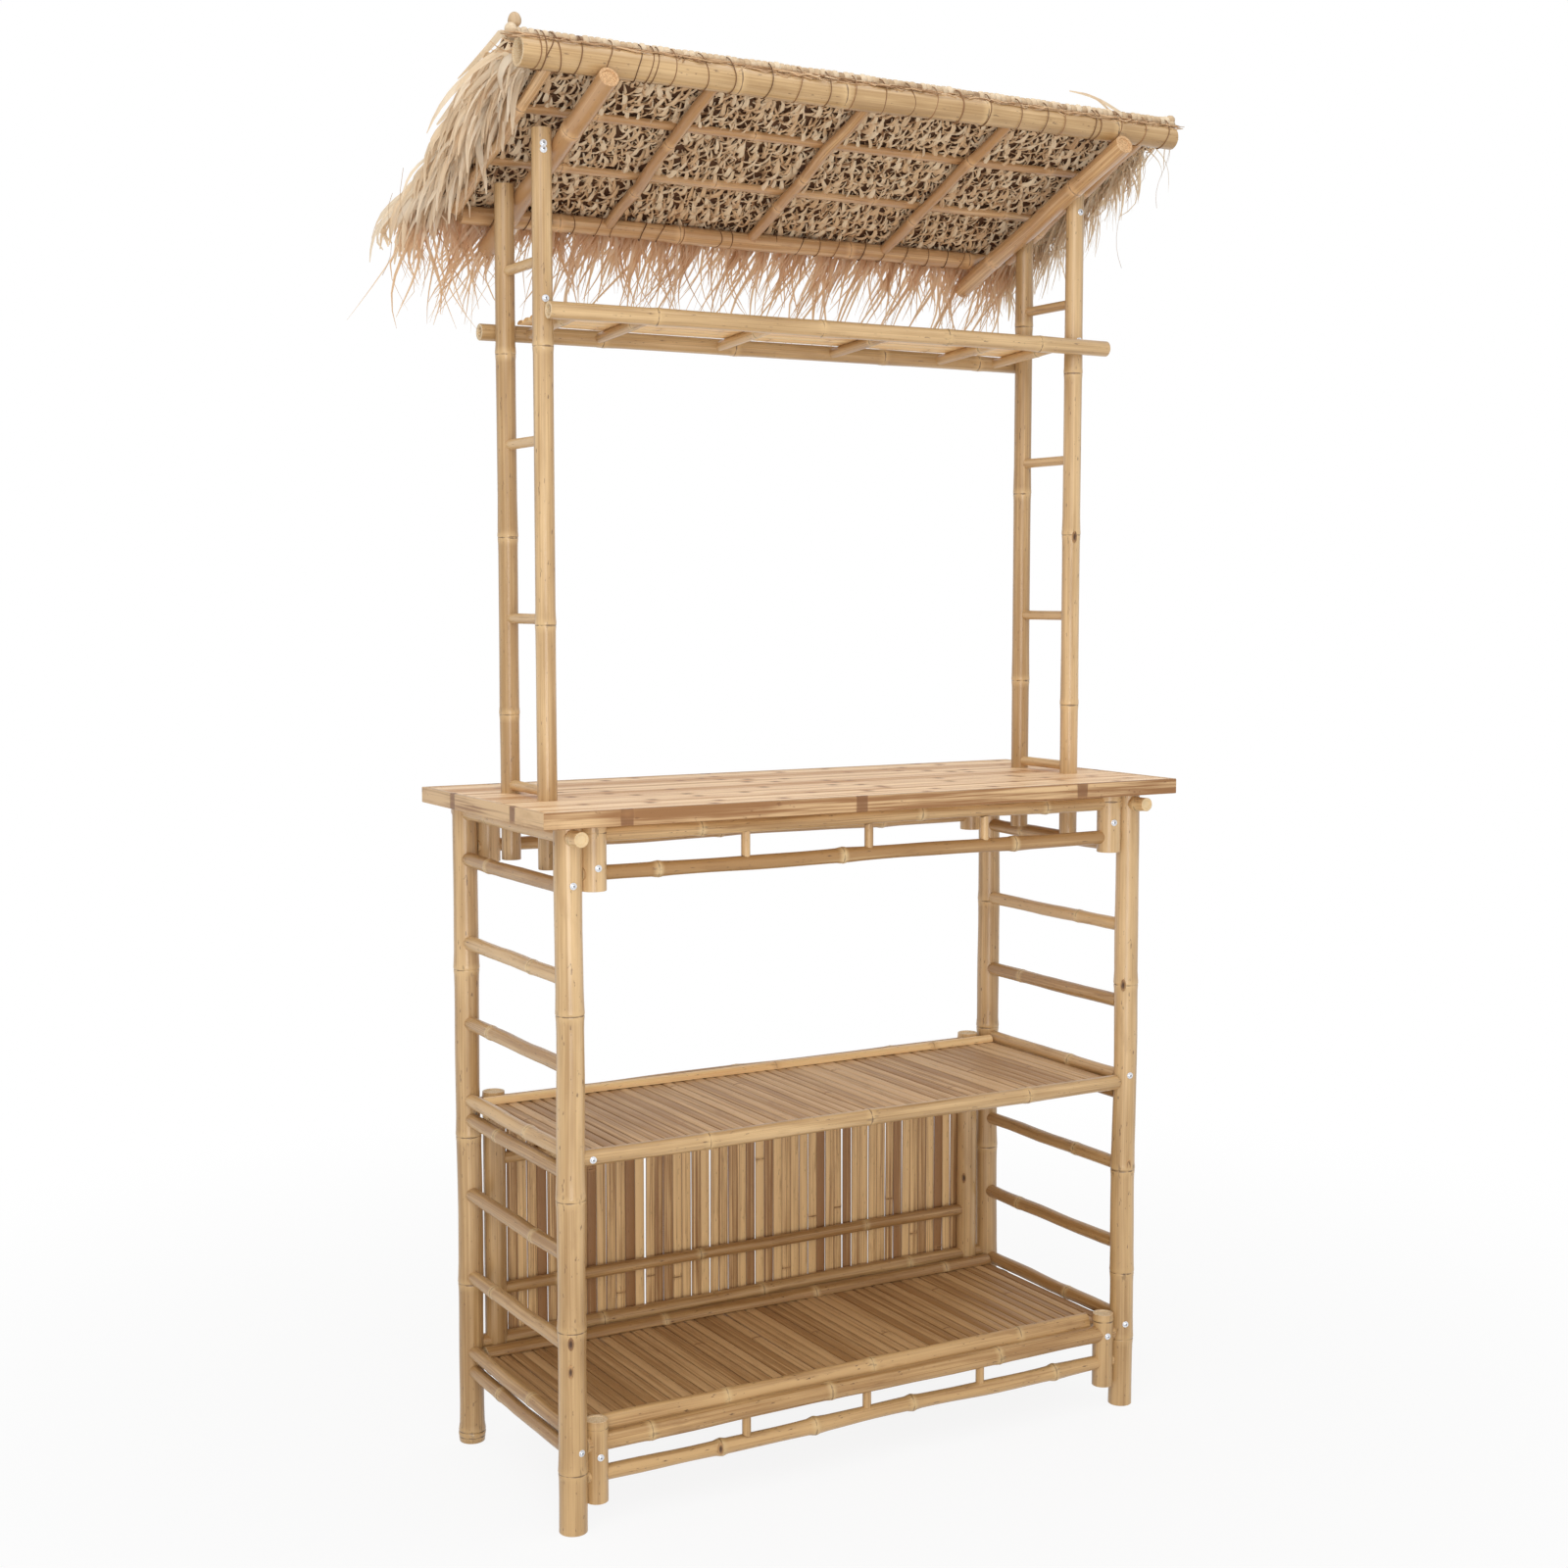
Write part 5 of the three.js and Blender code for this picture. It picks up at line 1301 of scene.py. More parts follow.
@dataclass
class Uprights(Assembly):
    """The four uprights that carry the roof, the rungs between them and the high shelf."""

    radius: float = 0.0146
    inset: float = 0.0152  # Distance of an upright's axis from the outer side of its box
    # Name, shade and heights of the nodes of each upright
    uprights: Sequence[tuple[str, float, Row]] = (
        ("front_left", 0.52, (1.304, 1.702)), ("front_right", 0.52, (1.164, 1.446, 1.71)),
        ("rear_left", 0.25, (1.168, 1.433, 1.703)), ("rear_right", 0.25, (1.2, 1.519, 1.8)),
    )
    # Heights of the rungs between a side's two uprights
    rung_heights: Row = (1.062, 1.3127, 1.5702, 1.8246)
    rung_radius: float = 0.0077
    shelf_radius: float = 0.0125
    # Distances of their nodes from the left end
    shelf_nodes: Sequence[tuple[str, Row]] = (
        ("front", (0.17, 0.45, 0.68, 0.86)), ("rear", (0.2, 0.43, 0.71, 0.9)),
    )
    # Places of the high shelf's rungs, as shares of the way to an upright
    shelf_rungs: Row = (-0.9, -0.66, -0.22, 0.22, 0.66, 0.9)
    shelf_rung_radius: float = 0.0078
    reach: float = 0.4742  # Distance of an upright's axis from the middle
    laths: int = 6
    lath: Triple = (0.02, 0.006, 0.0018)  # Width, thickness and crown of a lath
    lath_half: float = 0.4557
    lath_rise: float = 0.0107  # How high over the rungs' axes the laths lie
    margin: float = 0.026  # Distance of the first lath from a long pole's axis, past the pole's half thickness

    def build(self) -> None:
        """Makes the uprights, their rungs and the high shelf."""
        shop = self.shop
        near = shop.low("upright_front_left")[1] + self.inset
        far = shop.high("upright_rear_left")[1] - self.inset
        for corner, tone, nodes in self.uprights:
            node = f"upright_{corner}"
            low, high = shop.low(node)[2], shop.high(node)[2]
            y = shop.low(node)[1] + self.inset if corner.startswith("front") else shop.high(node)[1] - self.inset
            stick = Stick(
                *line(2, low, high, shop.middle(node)[0], y), round_outline(self.radius, 32), X_AXIS,
                [height - low for height in nodes], (End.HOLLOW, End.CLOSED), tone=shop.tone(tone, 0.1),
                bow=shop.random.normal(0, 0.0012), kink=0.0011, wall=0.004,
                shape=NodeShape(0.0011, 0.0005, 0.009, 0.003),
            )
            shop.sticks(f"pole_{node}", [stick], POLE, "culm", [node])
        outline, carrier = round_outline(self.rung_radius, 24), Carrier(Z_AXIS, self.radius)
        for side, _ in SIDES:
            x = shop.middle(f"upright_front_{side}")[0]
            sticks = [
                Stick(
                    *line(1, near, far, x, height), outline, Z_AXIS, (), (End.COPED,) * 2, (carrier,) * 2,
                    tone=shop.tone(0.7, 0.2),
                )
                for height in self.rung_heights
            ]
            shop.sticks(f"upright_rungs_{side}", sticks, RUNG, "rung")
        self._shelf()

    def _shelf(self) -> None:
        """Makes the high shelf: two open-ended poles with rungs and laths between them."""
        shop, axes = self.shop, []
        for name, nodes in self.shelf_nodes:
            node = f"upper_shelf_{name}_pole"
            _, y, z = shop.middle(node)
            axes.append(np.array([0.0, y, z]))
            stick = Stick(
                *line(0, shop.low(node)[0], shop.high(node)[0], y, z), round_outline(self.shelf_radius, 30), Z_AXIS,
                nodes, (End.HOLLOW,) * 2, tone=shop.tone(0.5, 0.2), bow=0.0008, wall=0.0035,
            )
            shop.sticks(f"pole_{node}", [stick], POLE, "culm", [node])
        front, rear = axes
        outline, carrier = round_outline(self.shelf_rung_radius, 24), Carrier(X_AXIS, self.shelf_radius)
        sticks = [
            Stick(
                front + X_AXIS * share * self.reach, rear + X_AXIS * share * self.reach, outline, Z_AXIS, (0.06,),
                (End.COPED,) * 2, (carrier,) * 2, tone=shop.tone(0.6, 0.2),
            )
            for share in self.shelf_rungs
        ]
        shop.sticks("upper_shelf_rungs", sticks, RUNG, "rung", ["upper_shelf_deck"])
        span, run = float(np.linalg.norm(rear - front)), unit(rear - front)
        up = unit(np.cross(X_AXIS, run))
        margin = self.shelf_radius + self.margin
        laths = []
        for number in range(self.laths):
            away = margin + number * (span - 2 * margin) / (self.laths - 1)
            base = front + run * away + up * self.lath_rise
            nodes = [0.1 + 0.25 * ((number * 0.618) % 1) + 0.3 * step for step in range(3)]
            laths.append(Stick(
                base - X_AXIS * self.lath_half, base + X_AXIS * self.lath_half, strip_outline(*self.lath), up, nodes,
                tone=shop.tone(0.6, 0.3), wall=0.002,
            ))
        shop.sticks("upper_shelf_laths", laths, LATH, "shelf_slat")


@dataclass(frozen=True)
class Slope:
    """The roof's own directions: along the ridge, down the slope and off it."""

    y: float = -0.199755  # The ridge pole's place from front to rear
    z: float = 2.076
    pitch: float = math.radians(22)
    run: float = 0.41  # Distance down the slope to the eaves pole
    top_taper: float = 0.18  # Share by which the ridge pole's right end is thinner

    def down(self) -> Array:
        """The way down the slope."""
        return np.array([0.0, math.cos(self.pitch), -math.sin(self.pitch)])

    def off(self) -> Array:
        """The way up out of the slope."""
        return np.array([0.0, math.sin(self.pitch), math.cos(self.pitch)])

    def at(self, x: Array, run: Array, rise: Array) -> Array:
        """Points from their places along the ridge, down the slope and off it."""
        x, run, rise = np.broadcast_arrays(x, run, rise)
        origin = np.array([0.0, self.y, self.z])
        return origin + x[..., None] * X_AXIS + run[..., None] * self.down() + rise[..., None] * self.off()


@dataclass
class RoofPart(Assembly):
    """A part of the roof."""

    slope: Slope  # The roof's directions


@dataclass
class RoofFrame(RoofPart):
    """The roof's poles and rafters with the purlins under the mat."""

    top_radius: float = 0.0208  # Half thickness of the ridge pole at its left end
    low_radius: float = 0.0138
    nib: float = 0.034  # Length over which the right end of the eaves pole slants
    nib_rise: float = 0.85  # Share by which it thins there
    main_radius: float = 0.0152
    main_inset: float = 0.015  # Distance of its ends' middles from the ends of its box, along the slope's normal
    thin_radius: float = 0.0087
    thin_x: Row = (-0.5119, -0.2559, 0.0, 0.2559, 0.5119)  # Places of the thin rafters
    free_run: float = 0.97  # Share of the slope that a thin rafter with a free end covers
    purlin_half: float = 0.524
    purlin_runs: Row = (0.1456, 0.2817)  # Places of the purlins down the slope
    purlin_rise: float = 0.0138  # How far off the slope they lie

    def build(self) -> None:
        """Makes every pole of the roof."""
        shop, slope = self.shop, self.slope
        half = shop.high("roof_top_pole")[0]
        left, right = shop.low("roof_lower_pole")[0], shop.high("roof_lower_pole")[0]
        top = Stick(
            slope.at(-half, 0, 0), slope.at(half, 0, 0), round_outline(self.top_radius, 40), Z_AXIS,
            (0.335, 0.51, 0.76, 1.01), (End.HOLLOW,) * 2, tone=0.35, taper=slope.top_taper, wander=0.0012,
            uneven=0.012, wall=0.0036, bore=0.05, shape=NodeShape(0.0008, 0.0005, 0.005, 0.002),
        )
        shop.sticks("pole_roof_top", [top], POLE, "culm", ["roof_top_pole"])
        lower = Stick(
            slope.at(left, slope.run, 0), slope.at(right, slope.run, 0), round_outline(self.low_radius, 30), Z_AXIS,
            (0.16, 0.37, 0.69, 0.93), tone=0.3, wander=0.0015, uneven=0.02, wall=0.0035,
        ).surface()
        nib = np.clip((lower.points[:, 0] - (right - self.nib)) / self.nib, 0, 1)
        below = self.low_radius - (lower.points[:, 2] - slope.at(0, slope.run, 0)[2])
        lower.points[:, 2] += self.nib_rise * nib * below
        shop.show("pole_roof_lower", lower, AGED, "culm", ["roof_lower_pole"])
        for side, sign in SIDES:
            node = f"roof_main_rafter_{side}"
            low, high, x = shop.low(node), shop.high(node), shop.middle(node)[0]
            _, fall, rise = slope.off() * self.main_inset
            stick = Stick(
                np.array([x, low[1] + fall, high[2] - rise]), np.array([x, high[1] - fall, low[2] + rise]),
                round_outline(self.main_radius, 32), Z_AXIS, (0.13, 0.37), tone=0.2 + 0.1 * sign, taper=0.05,
                wander=0.001, uneven=0.02, wall=0.004,
            )
            shop.sticks(f"pole_{node}", [stick], AGED, "culm", [node])
        for number, x in enumerate(self.thin_x):
            thinned = self.top_radius * (1 - slope.top_taper * (x + half) / (2 * half))
            free = x > right or number == 0
            stick = Stick(
                slope.at(x, 0, 0), slope.at(x, slope.run * (self.free_run if free else 1), 0),
                round_outline(self.thin_radius, 24), Z_AXIS, (0.12 + 0.05 * (number % 3), 0.3),
                (End.COPED, End.CLOSED if free else End.COPED),
                (Carrier(X_AXIS, thinned), Carrier(X_AXIS, self.low_radius)),
                tone=shop.tone(0.25, 0.25), wander=0.002, uneven=0.04, wall=0.003,
            )
            node = f"roof_thin_rafter_{number + 1}"
            shop.sticks(f"pole_{node}", [stick], AGED, "rung", [node])
        purlins = [
            Stick(
                slope.at(-self.purlin_half, run, self.purlin_rise), slope.at(self.purlin_half, run, self.purlin_rise),
                strip_outline(0.0145, 0.0095, 0.001), -slope.off(), (0.14, 0.4, 0.69, 0.95),
                tone=shop.tone(0.35, 0.2), wall=0.002,
            )
            for run in self.purlin_runs
        ]
        shop.sticks("roof_purlins", purlins, AGED, "rung")


@dataclass(frozen=True)
class LeafPlan:
    """One kind of leaf on a gable."""

    count: int
    widths: Pair  # Least and greatest width
    lengths: Pair  # Least and greatest length
    heading: Pair  # Middle and spread of the angle at which they point outwards
    droops: Pair  # Least and greatest bend towards the tip
    twist: float  # How much they wave


@dataclass
class Thatch(RoofPart):
    """The woven mat, its ridge roll, and the leaves that hang from its edges."""

    half: float = 0.575  # Half the mat's length along the ridge
    reach: float = 0.7  # How far to each side the gables' leaves may go
    bottom: float = 0.0188  # How far off the slope its underside is
    thickness: float = 0.017
    droop_start: float = 0.415  # Where the eaves edge starts to turn down
    droop_radius: float = 0.025  # How tightly it turns
    droop: float = math.radians(35)  # How far it turns
    edge: float = 0.425  # Distance down the slope to the mat's lower edge
    rear: Pair = (0.2485, 0.006)  # How far to the rear the leaves reach, and by how much that differs
    columns: int = 58  # Number of bands in a row of the weave
    rows: int = 19
    # Lean of each family of ties, and its shift along the ridge as a share of the bands' distance
    tie_leans: Sequence[Pair] = ((0.75, 0.25), (-0.85, -0.3), (0.2, 0.5))
    courses: int = 7  # Number of courses of leaves on top
    course_leaves: int = 210  # Number of leaves in a course
    roll_rise: float = 0.0285  # How far off the ridge pole's axis the roll runs
    roll_radius: float = 0.0088
    roll_half: float = 0.565
    wraps: int = 116  # Number of wraps along it
    tangle: int = 900  # Number of strands in the band under it
    # Places of the single hairs along the ridge and down the slope
    hairs: Sequence[Pair] = (
        (-0.62, 0.33), (-0.6, 0.4), (-0.5, 0.42), (-0.33, 0.43), (-0.1, 0.43), (0.12, 0.43), (0.3, 0.43), (0.5, 0.42),
        (0.587, 0.3), (0.592, 0.04), (0.58, 0.17),
    )
    bunches: tuple[int, int] = (76, 18)  # Number of bunches along the eaves, and of strands in each
    gable_bunches: int = 34  # Number of bunches along a gable
    # The leaves of the left and the right gable
    plans: Sequence[Sequence[LeafPlan]] = (
        (
            LeafPlan(215, (0.0075, 0.0145), (0.07, 0.125), (0.2, 0.2), (0.3, 1.0), 1.2),
            LeafPlan(120, (0.003, 0.006), (0.07, 0.13), (0.2, 0.3), (0.8, 1.6), 1.5),
            LeafPlan(95, (0.0065, 0.0125), (0.1, 0.155), (0.08, 0.3), (0.9, 1.8), 1.3),
        ),
        (
            LeafPlan(130, (0.004, 0.0095), (0.08, 0.14), (0.36, 0.26), (0.5, 1.1), 1.3),
            LeafPlan(130, (0.0018, 0.005), (0.08, 0.15), (0.32, 0.32), (0.9, 1.6), 1.5),
            LeafPlan(90, (0.003, 0.0085), (0.1, 0.16), (0.34, 0.32), (1.0, 1.7), 1.3),
        ),
    )

    def fold(self, run: Array, rise: Array) -> tuple[Array, Array]:
        """Bends places past the droop's start round the eaves edge.

        A place that lies d past the start turns by d over the droop's radius, at most by the droop's angle,
        and goes straight on from there. Its rise over the mat's underside stays its distance from the curve.

        Args:
            run: Distances down the slope.
            rise: Distances off the slope.

        Returns:
            The bent distances down and off the slope.
        """
        past = np.maximum(run - self.droop_start, 0)
        angle = np.minimum(past / self.droop_radius, self.droop)
        straight = past - angle * self.droop_radius
        out = self.droop_radius + rise - self.bottom
        bent_run = self.droop_start + out * np.sin(angle) + straight * np.cos(angle)
        bent_rise = self.bottom - self.droop_radius + out * np.cos(angle) - straight * np.sin(angle)
        return np.where(past > 0, bent_run, run), np.where(past > 0, bent_rise, rise)

    def lay(self, x: Array, run: Array, rise: Array) -> Array:
        """Points on the mat, bent over the eaves."""
        return self.slope.at(x, *self.fold(run, rise))

    def build(self) -> None:
        """Makes the mat, the knots, the upper leaves, the roll and the fringes."""
        self._core()
        self._weave()
        self._courses()
        self._roll()
        self._tangle()
        self._eaves()
        for (side, sign), plans in zip(SIDES, self.plans):
            self._gable(side, sign, plans)
        self._strays()

    def _held(self, paths: Array) -> Array:
        """The same paths, stopped where the leaves end at the rear."""
        limit = self.rear[0] + self.rear[1] * self.shop.random.random((len(paths), 1))
        paths[..., 1] = np.minimum(paths[..., 1], limit)
        return paths

    def _core(self) -> None:
        """Makes the inside of the mat, a bent sheet a little thinner than the mat, painted dark for the shade within
        the thatch.

        Its outline goes down the slope along the underside and back along the top. It is swept along the
        ridge and drawn together at both ends.
        """
        low, high = self.bottom + 0.004, self.bottom + self.thickness - 0.002
        down = np.linspace(0.022, 0.43, 24)
        run, rise = np.concatenate([down, down[::-1]]), np.repeat([low, high], len(down))
        points = self.slope.at(0.0, *self.fold(run, rise))
        centre = points.mean(0)
        local = points - centre
        x = (self.half - 0.004) * np.array([-1, -1, 1, 1])
        shares = np.array([0.02, 1.0, 1.0, 0.02])[:, None, None]
        steady = np.arange(4.0)[:, None] * X_AXIS
        offsets = np.stack([local @ Z_AXIS, -(local @ Y_AXIS), 0 * run], -1) * shares
        values = {"share": np.array(0.5), "tone": np.array(0.4)}
        made = sweep(steady[None], Z_AXIS[None], offsets[None], True, values, x[None])
        made.points += np.repeat(centre + x[:, None] * X_AXIS - steady, len(run), axis=0)
        self.shop.show("thatch_core", made, UNDERLAY_PAINTED_SHADE, "thatch_mat", ["thatch_mat"])

    def _arches(self, x: Array, run: Array, lean: Array, length: Array, sag: Array, curl: Array) -> Array:
        """Paths of strands that arch away from the mat's underside.

        A strand goes through its place at its lean from the way down the slope. It leaves the mat by its sag,
        and its straight line by its curl, times one minus the square of the share from its middle.

        Args:
            x: Places along the ridge.
            run: Places down the slope.
            lean: Angles from the way down the slope.
            length: Lengths.
            sag: Greatest distances from the mat.
            curl: Greatest sideways bends.

        Returns:
            The paths.
        """
        x, run, lean, length, sag, curl = (each[:, None] for each in (x, run, lean, length, sag, curl))
        swell = 1 - ARCH**2
        reach, aside = length / 2 * ARCH, curl * swell
        strand_x = x + reach * np.sin(lean) + aside * np.cos(lean)
        strand_run = run + reach * np.cos(lean) - aside * np.sin(lean)
        rise = self.bottom + 0.003 - sag * swell
        return self.lay(np.clip(strand_x, -self.half, self.half), strand_run, rise)

    def _weave(self) -> None:
        """Makes the weave seen from below: flat bands down the slope, tied by slanting strands between them."""
        shop, draw = self.shop, self.shop.random
        along = np.linspace(-self.half + 0.01, self.half - 0.01, self.columns)
        x, run = (grid.ravel() for grid in np.meshgrid(along, np.linspace(0.03, 0.424, self.rows)))
        count = len(x)
        half_step = 0.0099
        x = x + half_step * (np.arange(count) // self.columns % 2 - 0.5) + draw.normal(0, 0.0022, count)
        run = run + draw.normal(0, 0.0025, count)
        paths = self._arches(
            x, run, draw.normal(-0.1, 0.3, count), draw.uniform(0.024, 0.036, count),
            draw.uniform(0.005, 0.0105, count), draw.normal(0, 0.0022, count),
        )
        width = draw.uniform(0.0055, 0.0098, count)[:, None] * (1 - 0.55 * ARCH**2)
        ups = unit(-self.slope.off() + 0.4 * draw.normal(0, 1, (count, 3)))
        bands = ribbons(paths, ups, width, 0.22, shop.tones(0.72, 0.2, count))
        shop.show("thatch_weave_bands", bands, THATCH, "thatch_mat", sharp=SMOOTH)
        ties = []
        for lean, offset in self.tie_leans:
            paths = self._arches(
                x + offset * 2 * half_step + draw.normal(0, 0.002, count), run + 0.011 + draw.normal(0, 0.003, count),
                draw.normal(lean, 0.25, count), draw.uniform(0.02, 0.032, count),
                draw.uniform(0.002, 0.0075, count), draw.normal(0, 0.003, count),
            )
            radius = draw.uniform(0.0016, 0.0032, count)[:, None] * (1 - 0.5 * ARCH**2)
            ups = unit(-self.slope.off() + 0.35 * draw.normal(0, 1, (count, 3)))
            ties.append(tubes(paths, ups, radius, 6, 0.45, shop.tones(0.56, 0.26, count)))
        shop.show("thatch_weave_ties", Surface.joined(ties), THATCH, "thatch_mat", sharp=SMOOTH)

    def _courses(self) -> None:
        """Makes the leaves on top of the mat, in overlapping courses from the eaves up to the ridge."""
        shop, draw, count = self.shop, self.shop.random, self.course_leaves
        step = np.linspace(0, 1, 5)
        parts = []
        for course, start in enumerate(np.linspace(0.325, 0.012, self.courses)):
            x = np.linspace(-self.half + 0.004, self.half - 0.004, count) + draw.normal(0, 0.003, count)
            length = draw.uniform(0.11, 0.16, count)[:, None]
            sway = draw.normal(0, 0.09, count)[:, None] * length * step**1.3
            run = start + draw.normal(0, 0.004, count)[:, None] + length * step
            level = self.bottom + self.thickness - 0.003 + 0.0006 * course
            rise = level + 0.004 * step + draw.uniform(0, 0.003, count)[:, None]
            paths = self._held(self.lay(x[:, None] + sway, run, rise))
            width = draw.uniform(0.006, 0.013, count)[:, None] * (1 - 0.85 * step**2)
            ups = unit(self.slope.off() + 0.25 * draw.normal(0, 1, (count, 3)))
            parts.append(ribbons(paths, ups, width, 0.15, shop.tones(0.5, 0.25, count)))
        shop.show("thatch_courses", Surface.joined(parts), GABLE, "thatch_mat", sharp=SMOOTH)

    def _roll(self) -> None:
        """Makes the ridge roll: a row of tight wraps with the knobs at its ends.

        Its half thickness is a share of the roll's, plus a bead per wrap: a root of the sine of the wrap's
        phase, times the wrap's own size.
        """
        draw, span, steps, sides = self.shop.random, self.roll_half, 900, 14
        x = np.linspace(-span, span, steps)
        phase = (x + span) / (2 * span) * self.wraps
        own = draw.normal(0, 1, self.wraps + 2)[np.clip(phase.astype(int), 0, self.wraps)]
        bead = np.abs(np.sin(np.pi * phase)) ** 0.6
        radius = (self.roll_radius * (0.68 + 0.3 * bead * (1 + 0.22 * own)))[:, None, None]
        drift = np.interp(x, np.linspace(-span, span, 24), draw.normal(0, 0.0017, 24))
        path = self.slope.at(x, drift, self.roll_rise + 0.6 * drift)
        circle = round_outline(1.0, sides)
        offsets = radius * np.concatenate([circle, 0.15 * circle[:, 1:]], -1)
        values = {"share": np.array(0.3), "tone": np.clip(0.62 + 0.2 * own, 0, 1)[None, :, None]}
        parts = [sweep(path[None], Z_AXIS[None], offsets[None], True, values, x[None]), self._knob()]
        turns = np.linspace(0, 1, 12)
        swell = np.sin(np.pi * turns)
        for _, sign in SIDES:
            for _ in range(7):
                wobble = draw.normal(0, 0.0022, (2, 1)) * swell
                lump = self.slope.at(sign * (0.561 + 0.0165 * turns), wobble[0], self.roll_rise + 0.002 + wobble[1])
                tone = np.array([draw.uniform(0.4, 0.8)])
                parts.append(tubes(lump[None], Z_AXIS[None], (0.0022 + 0.0068 * swell)[None], 12, 0.9, tone))
        self.shop.show("ridge_roll", Surface.joined(parts), ROLL, "thatch_mat", sharp=70.0)

    def _knob(self) -> Surface:
        """The round knot that stands on a short neck at the roll's left end."""
        ring = np.linspace(0, 1, 16)
        ball = np.sqrt(np.maximum(1 - ((ring - 0.68) / 0.33) ** 2, 0))
        swell = 0.0032 + np.where(ring < 0.35, 0.0, 0.0068 * ball)
        swell[-1] = 0.0004
        lean = self.slope.at(-0.56 - 0.003 * ring, 0.002 * np.sin(6 * ring), self.roll_rise + 0.002 + 0.024 * ring)
        return tubes(lean[None], X_AXIS[None], swell[None], 14, 0.92, np.array([0.35]))

    def _tangle(self) -> None:
        """Makes the band of tangled strands that follows the ridge pole's top on both sides of the roll."""
        draw, span, count = self.shop.random, self.roll_half, self.tangle
        start = draw.uniform(-span, span, count)[:, None]
        step = np.linspace(0, 1, 5)
        reach = draw.normal(0.03, 0.012, count)[:, None]
        side = np.where(draw.random(count) < 0.5, -1, 1)[:, None]
        around = draw.uniform(0.2, 1.15, count)[:, None] + draw.normal(0, 0.15, (count, 5))
        shell = draw.uniform(0.0185, 0.0245, count)[:, None] - 0.0035 * (start + span) / (2 * span)
        x = start + reach * (step - 0.5) * 1.6
        paths = self.slope.at(x, -side * shell * np.sin(around), shell * np.cos(around) + 0.0005)
        width = draw.uniform(0.0008, 0.0018, count)[:, None] * (1 - 0.5 * (2 * step - 1) ** 2)
        made = tubes(paths, np.tile(Z_AXIS, (count, 1)), width, 4, 0.8, self.shop.tones(0.3, 0.2, count))
        self.shop.show("ridge_tangle", made, THATCH, "thatch_mat", sharp=SMOOTH)

    def _strays(self) -> None:
        """Makes the few single hairs that hang from the mat and the loose leaf on the ridge."""
        draw, count = self.shop.random, len(self.hairs)
        x, run = np.array(self.hairs).T
        step = np.linspace(0, 1, 9)
        length = draw.uniform(0.1, 0.15, count)[:, None]
        lean = 0.25 * draw.normal(0, 1, (count, 1)) * step
        sway = length * (lean + 0.08 * np.sin(5 * step + FULL_TURN * draw.random((count, 1))))
        paths = self.slope.at(x, run, self.bottom)[:, None, :] + np.stack([sway, 0.12 * sway, -length * step], -1)
        ups, radii = np.tile(X_AXIS, (count, 1)), np.full((count, len(step)), 0.00035)
        hairs = tubes(paths, ups, radii, 4, 1.0, np.full(count, 0.1))
        start, end = (self.slope.at(np.array(x), run, rise)[:, None, :] for x, run, rise in (
            ((0.47, 0.45), 0, 0.036), ((0.372, 0.392), -0.006, 0.058),
        ))
        leaf = start + (end - start) * step[:, None] + 0.006 * np.sin(np.pi * step)[:, None] * Z_AXIS
        width = np.array([[0.007], [0.005]]) * (1 - 0.7 * step**2)
        blades = ribbons(leaf, np.tile(unit(np.array([0.0, -1.0, 0.4])), (2, 1)), width, 0.2, np.array([0.5, 0.3]))
        self.shop.show("thatch_strays", Surface.joined([hairs, blades]), GABLE, "thatch_leaf", sharp=SMOOTH)

    def _eaves(self) -> None:
        """Makes the hanging strands of the eaves: bunches that lean together and taper to thin tips.

        A strand is a chain of equal lengths. Each goes down at an angle that grows towards the tip, and
        sideways at its bunch's lean plus a curl: a steady turn and a wave along the strand.
        """
        shop, draw = self.shop, self.shop.random
        bunches, per = self.bunches
        count = bunches * per
        centre = np.linspace(-self.half + 0.008, self.half - 0.012, bunches) + draw.normal(0, 0.004, bunches)
        x = np.clip(np.repeat(centre, per) + draw.normal(0, 0.0055, count), -self.half, self.half - 0.004)
        lean = np.repeat(draw.normal(-0.32, 0.2, bunches), per) + draw.normal(0, 0.14, count)
        lean = (lean + 0.38 * np.clip((-0.43 - x) / 0.14, 0, 1))[:, None]
        reach = np.repeat(draw.uniform(0.72, 1.15, bunches), per)
        piece = np.clip(draw.gamma(3.0, 0.028, count) * reach, 0.03, 0.185)[:, None] / 7
        step = np.linspace(0, 1, 8)
        curl, wave = draw.normal(0, 0.45, count)[:, None] * step, draw.normal(0, 0.34, count)[:, None]
        phase = draw.uniform(0.4, 1.1, count)[:, None] * step + draw.random((count, 1))
        turn = lean + (curl + wave * np.sin(FULL_TURN * phase))
        angle = self.droop + self.slope.pitch + draw.uniform(0.1, 0.3, count)[:, None]
        angle = angle + (0.55 + draw.normal(0, 0.25, count))[:, None] * step
        steep = np.minimum(angle, 1.52)
        ways = np.stack([piece * np.sin(turn), piece * np.cos(angle) * 0.8, -piece * np.sin(steep)], -1)
        run = draw.uniform(0.412, 0.434, count)
        roots = self.lay(x, run, self.bottom + draw.uniform(0.002, self.thickness, count))
        paths = self._held(chain(roots, ways))
        width = draw.uniform(0.0018, 0.0072, count)[:, None] * (1 - 0.9 * step**1.6)
        ups = unit(np.stack([draw.normal(0, 0.6, count), np.full(count, -1.0), draw.normal(0.2, 0.3, count)], -1))
        made = ribbons(paths, ups, width, 0.2, shop.tones(0.6, 0.3, count))
        shop.show("thatch_fringe_eaves", made, FRINGE, "thatch_leaf", ["thatch_fringe_rear"], sharp=SMOOTH)

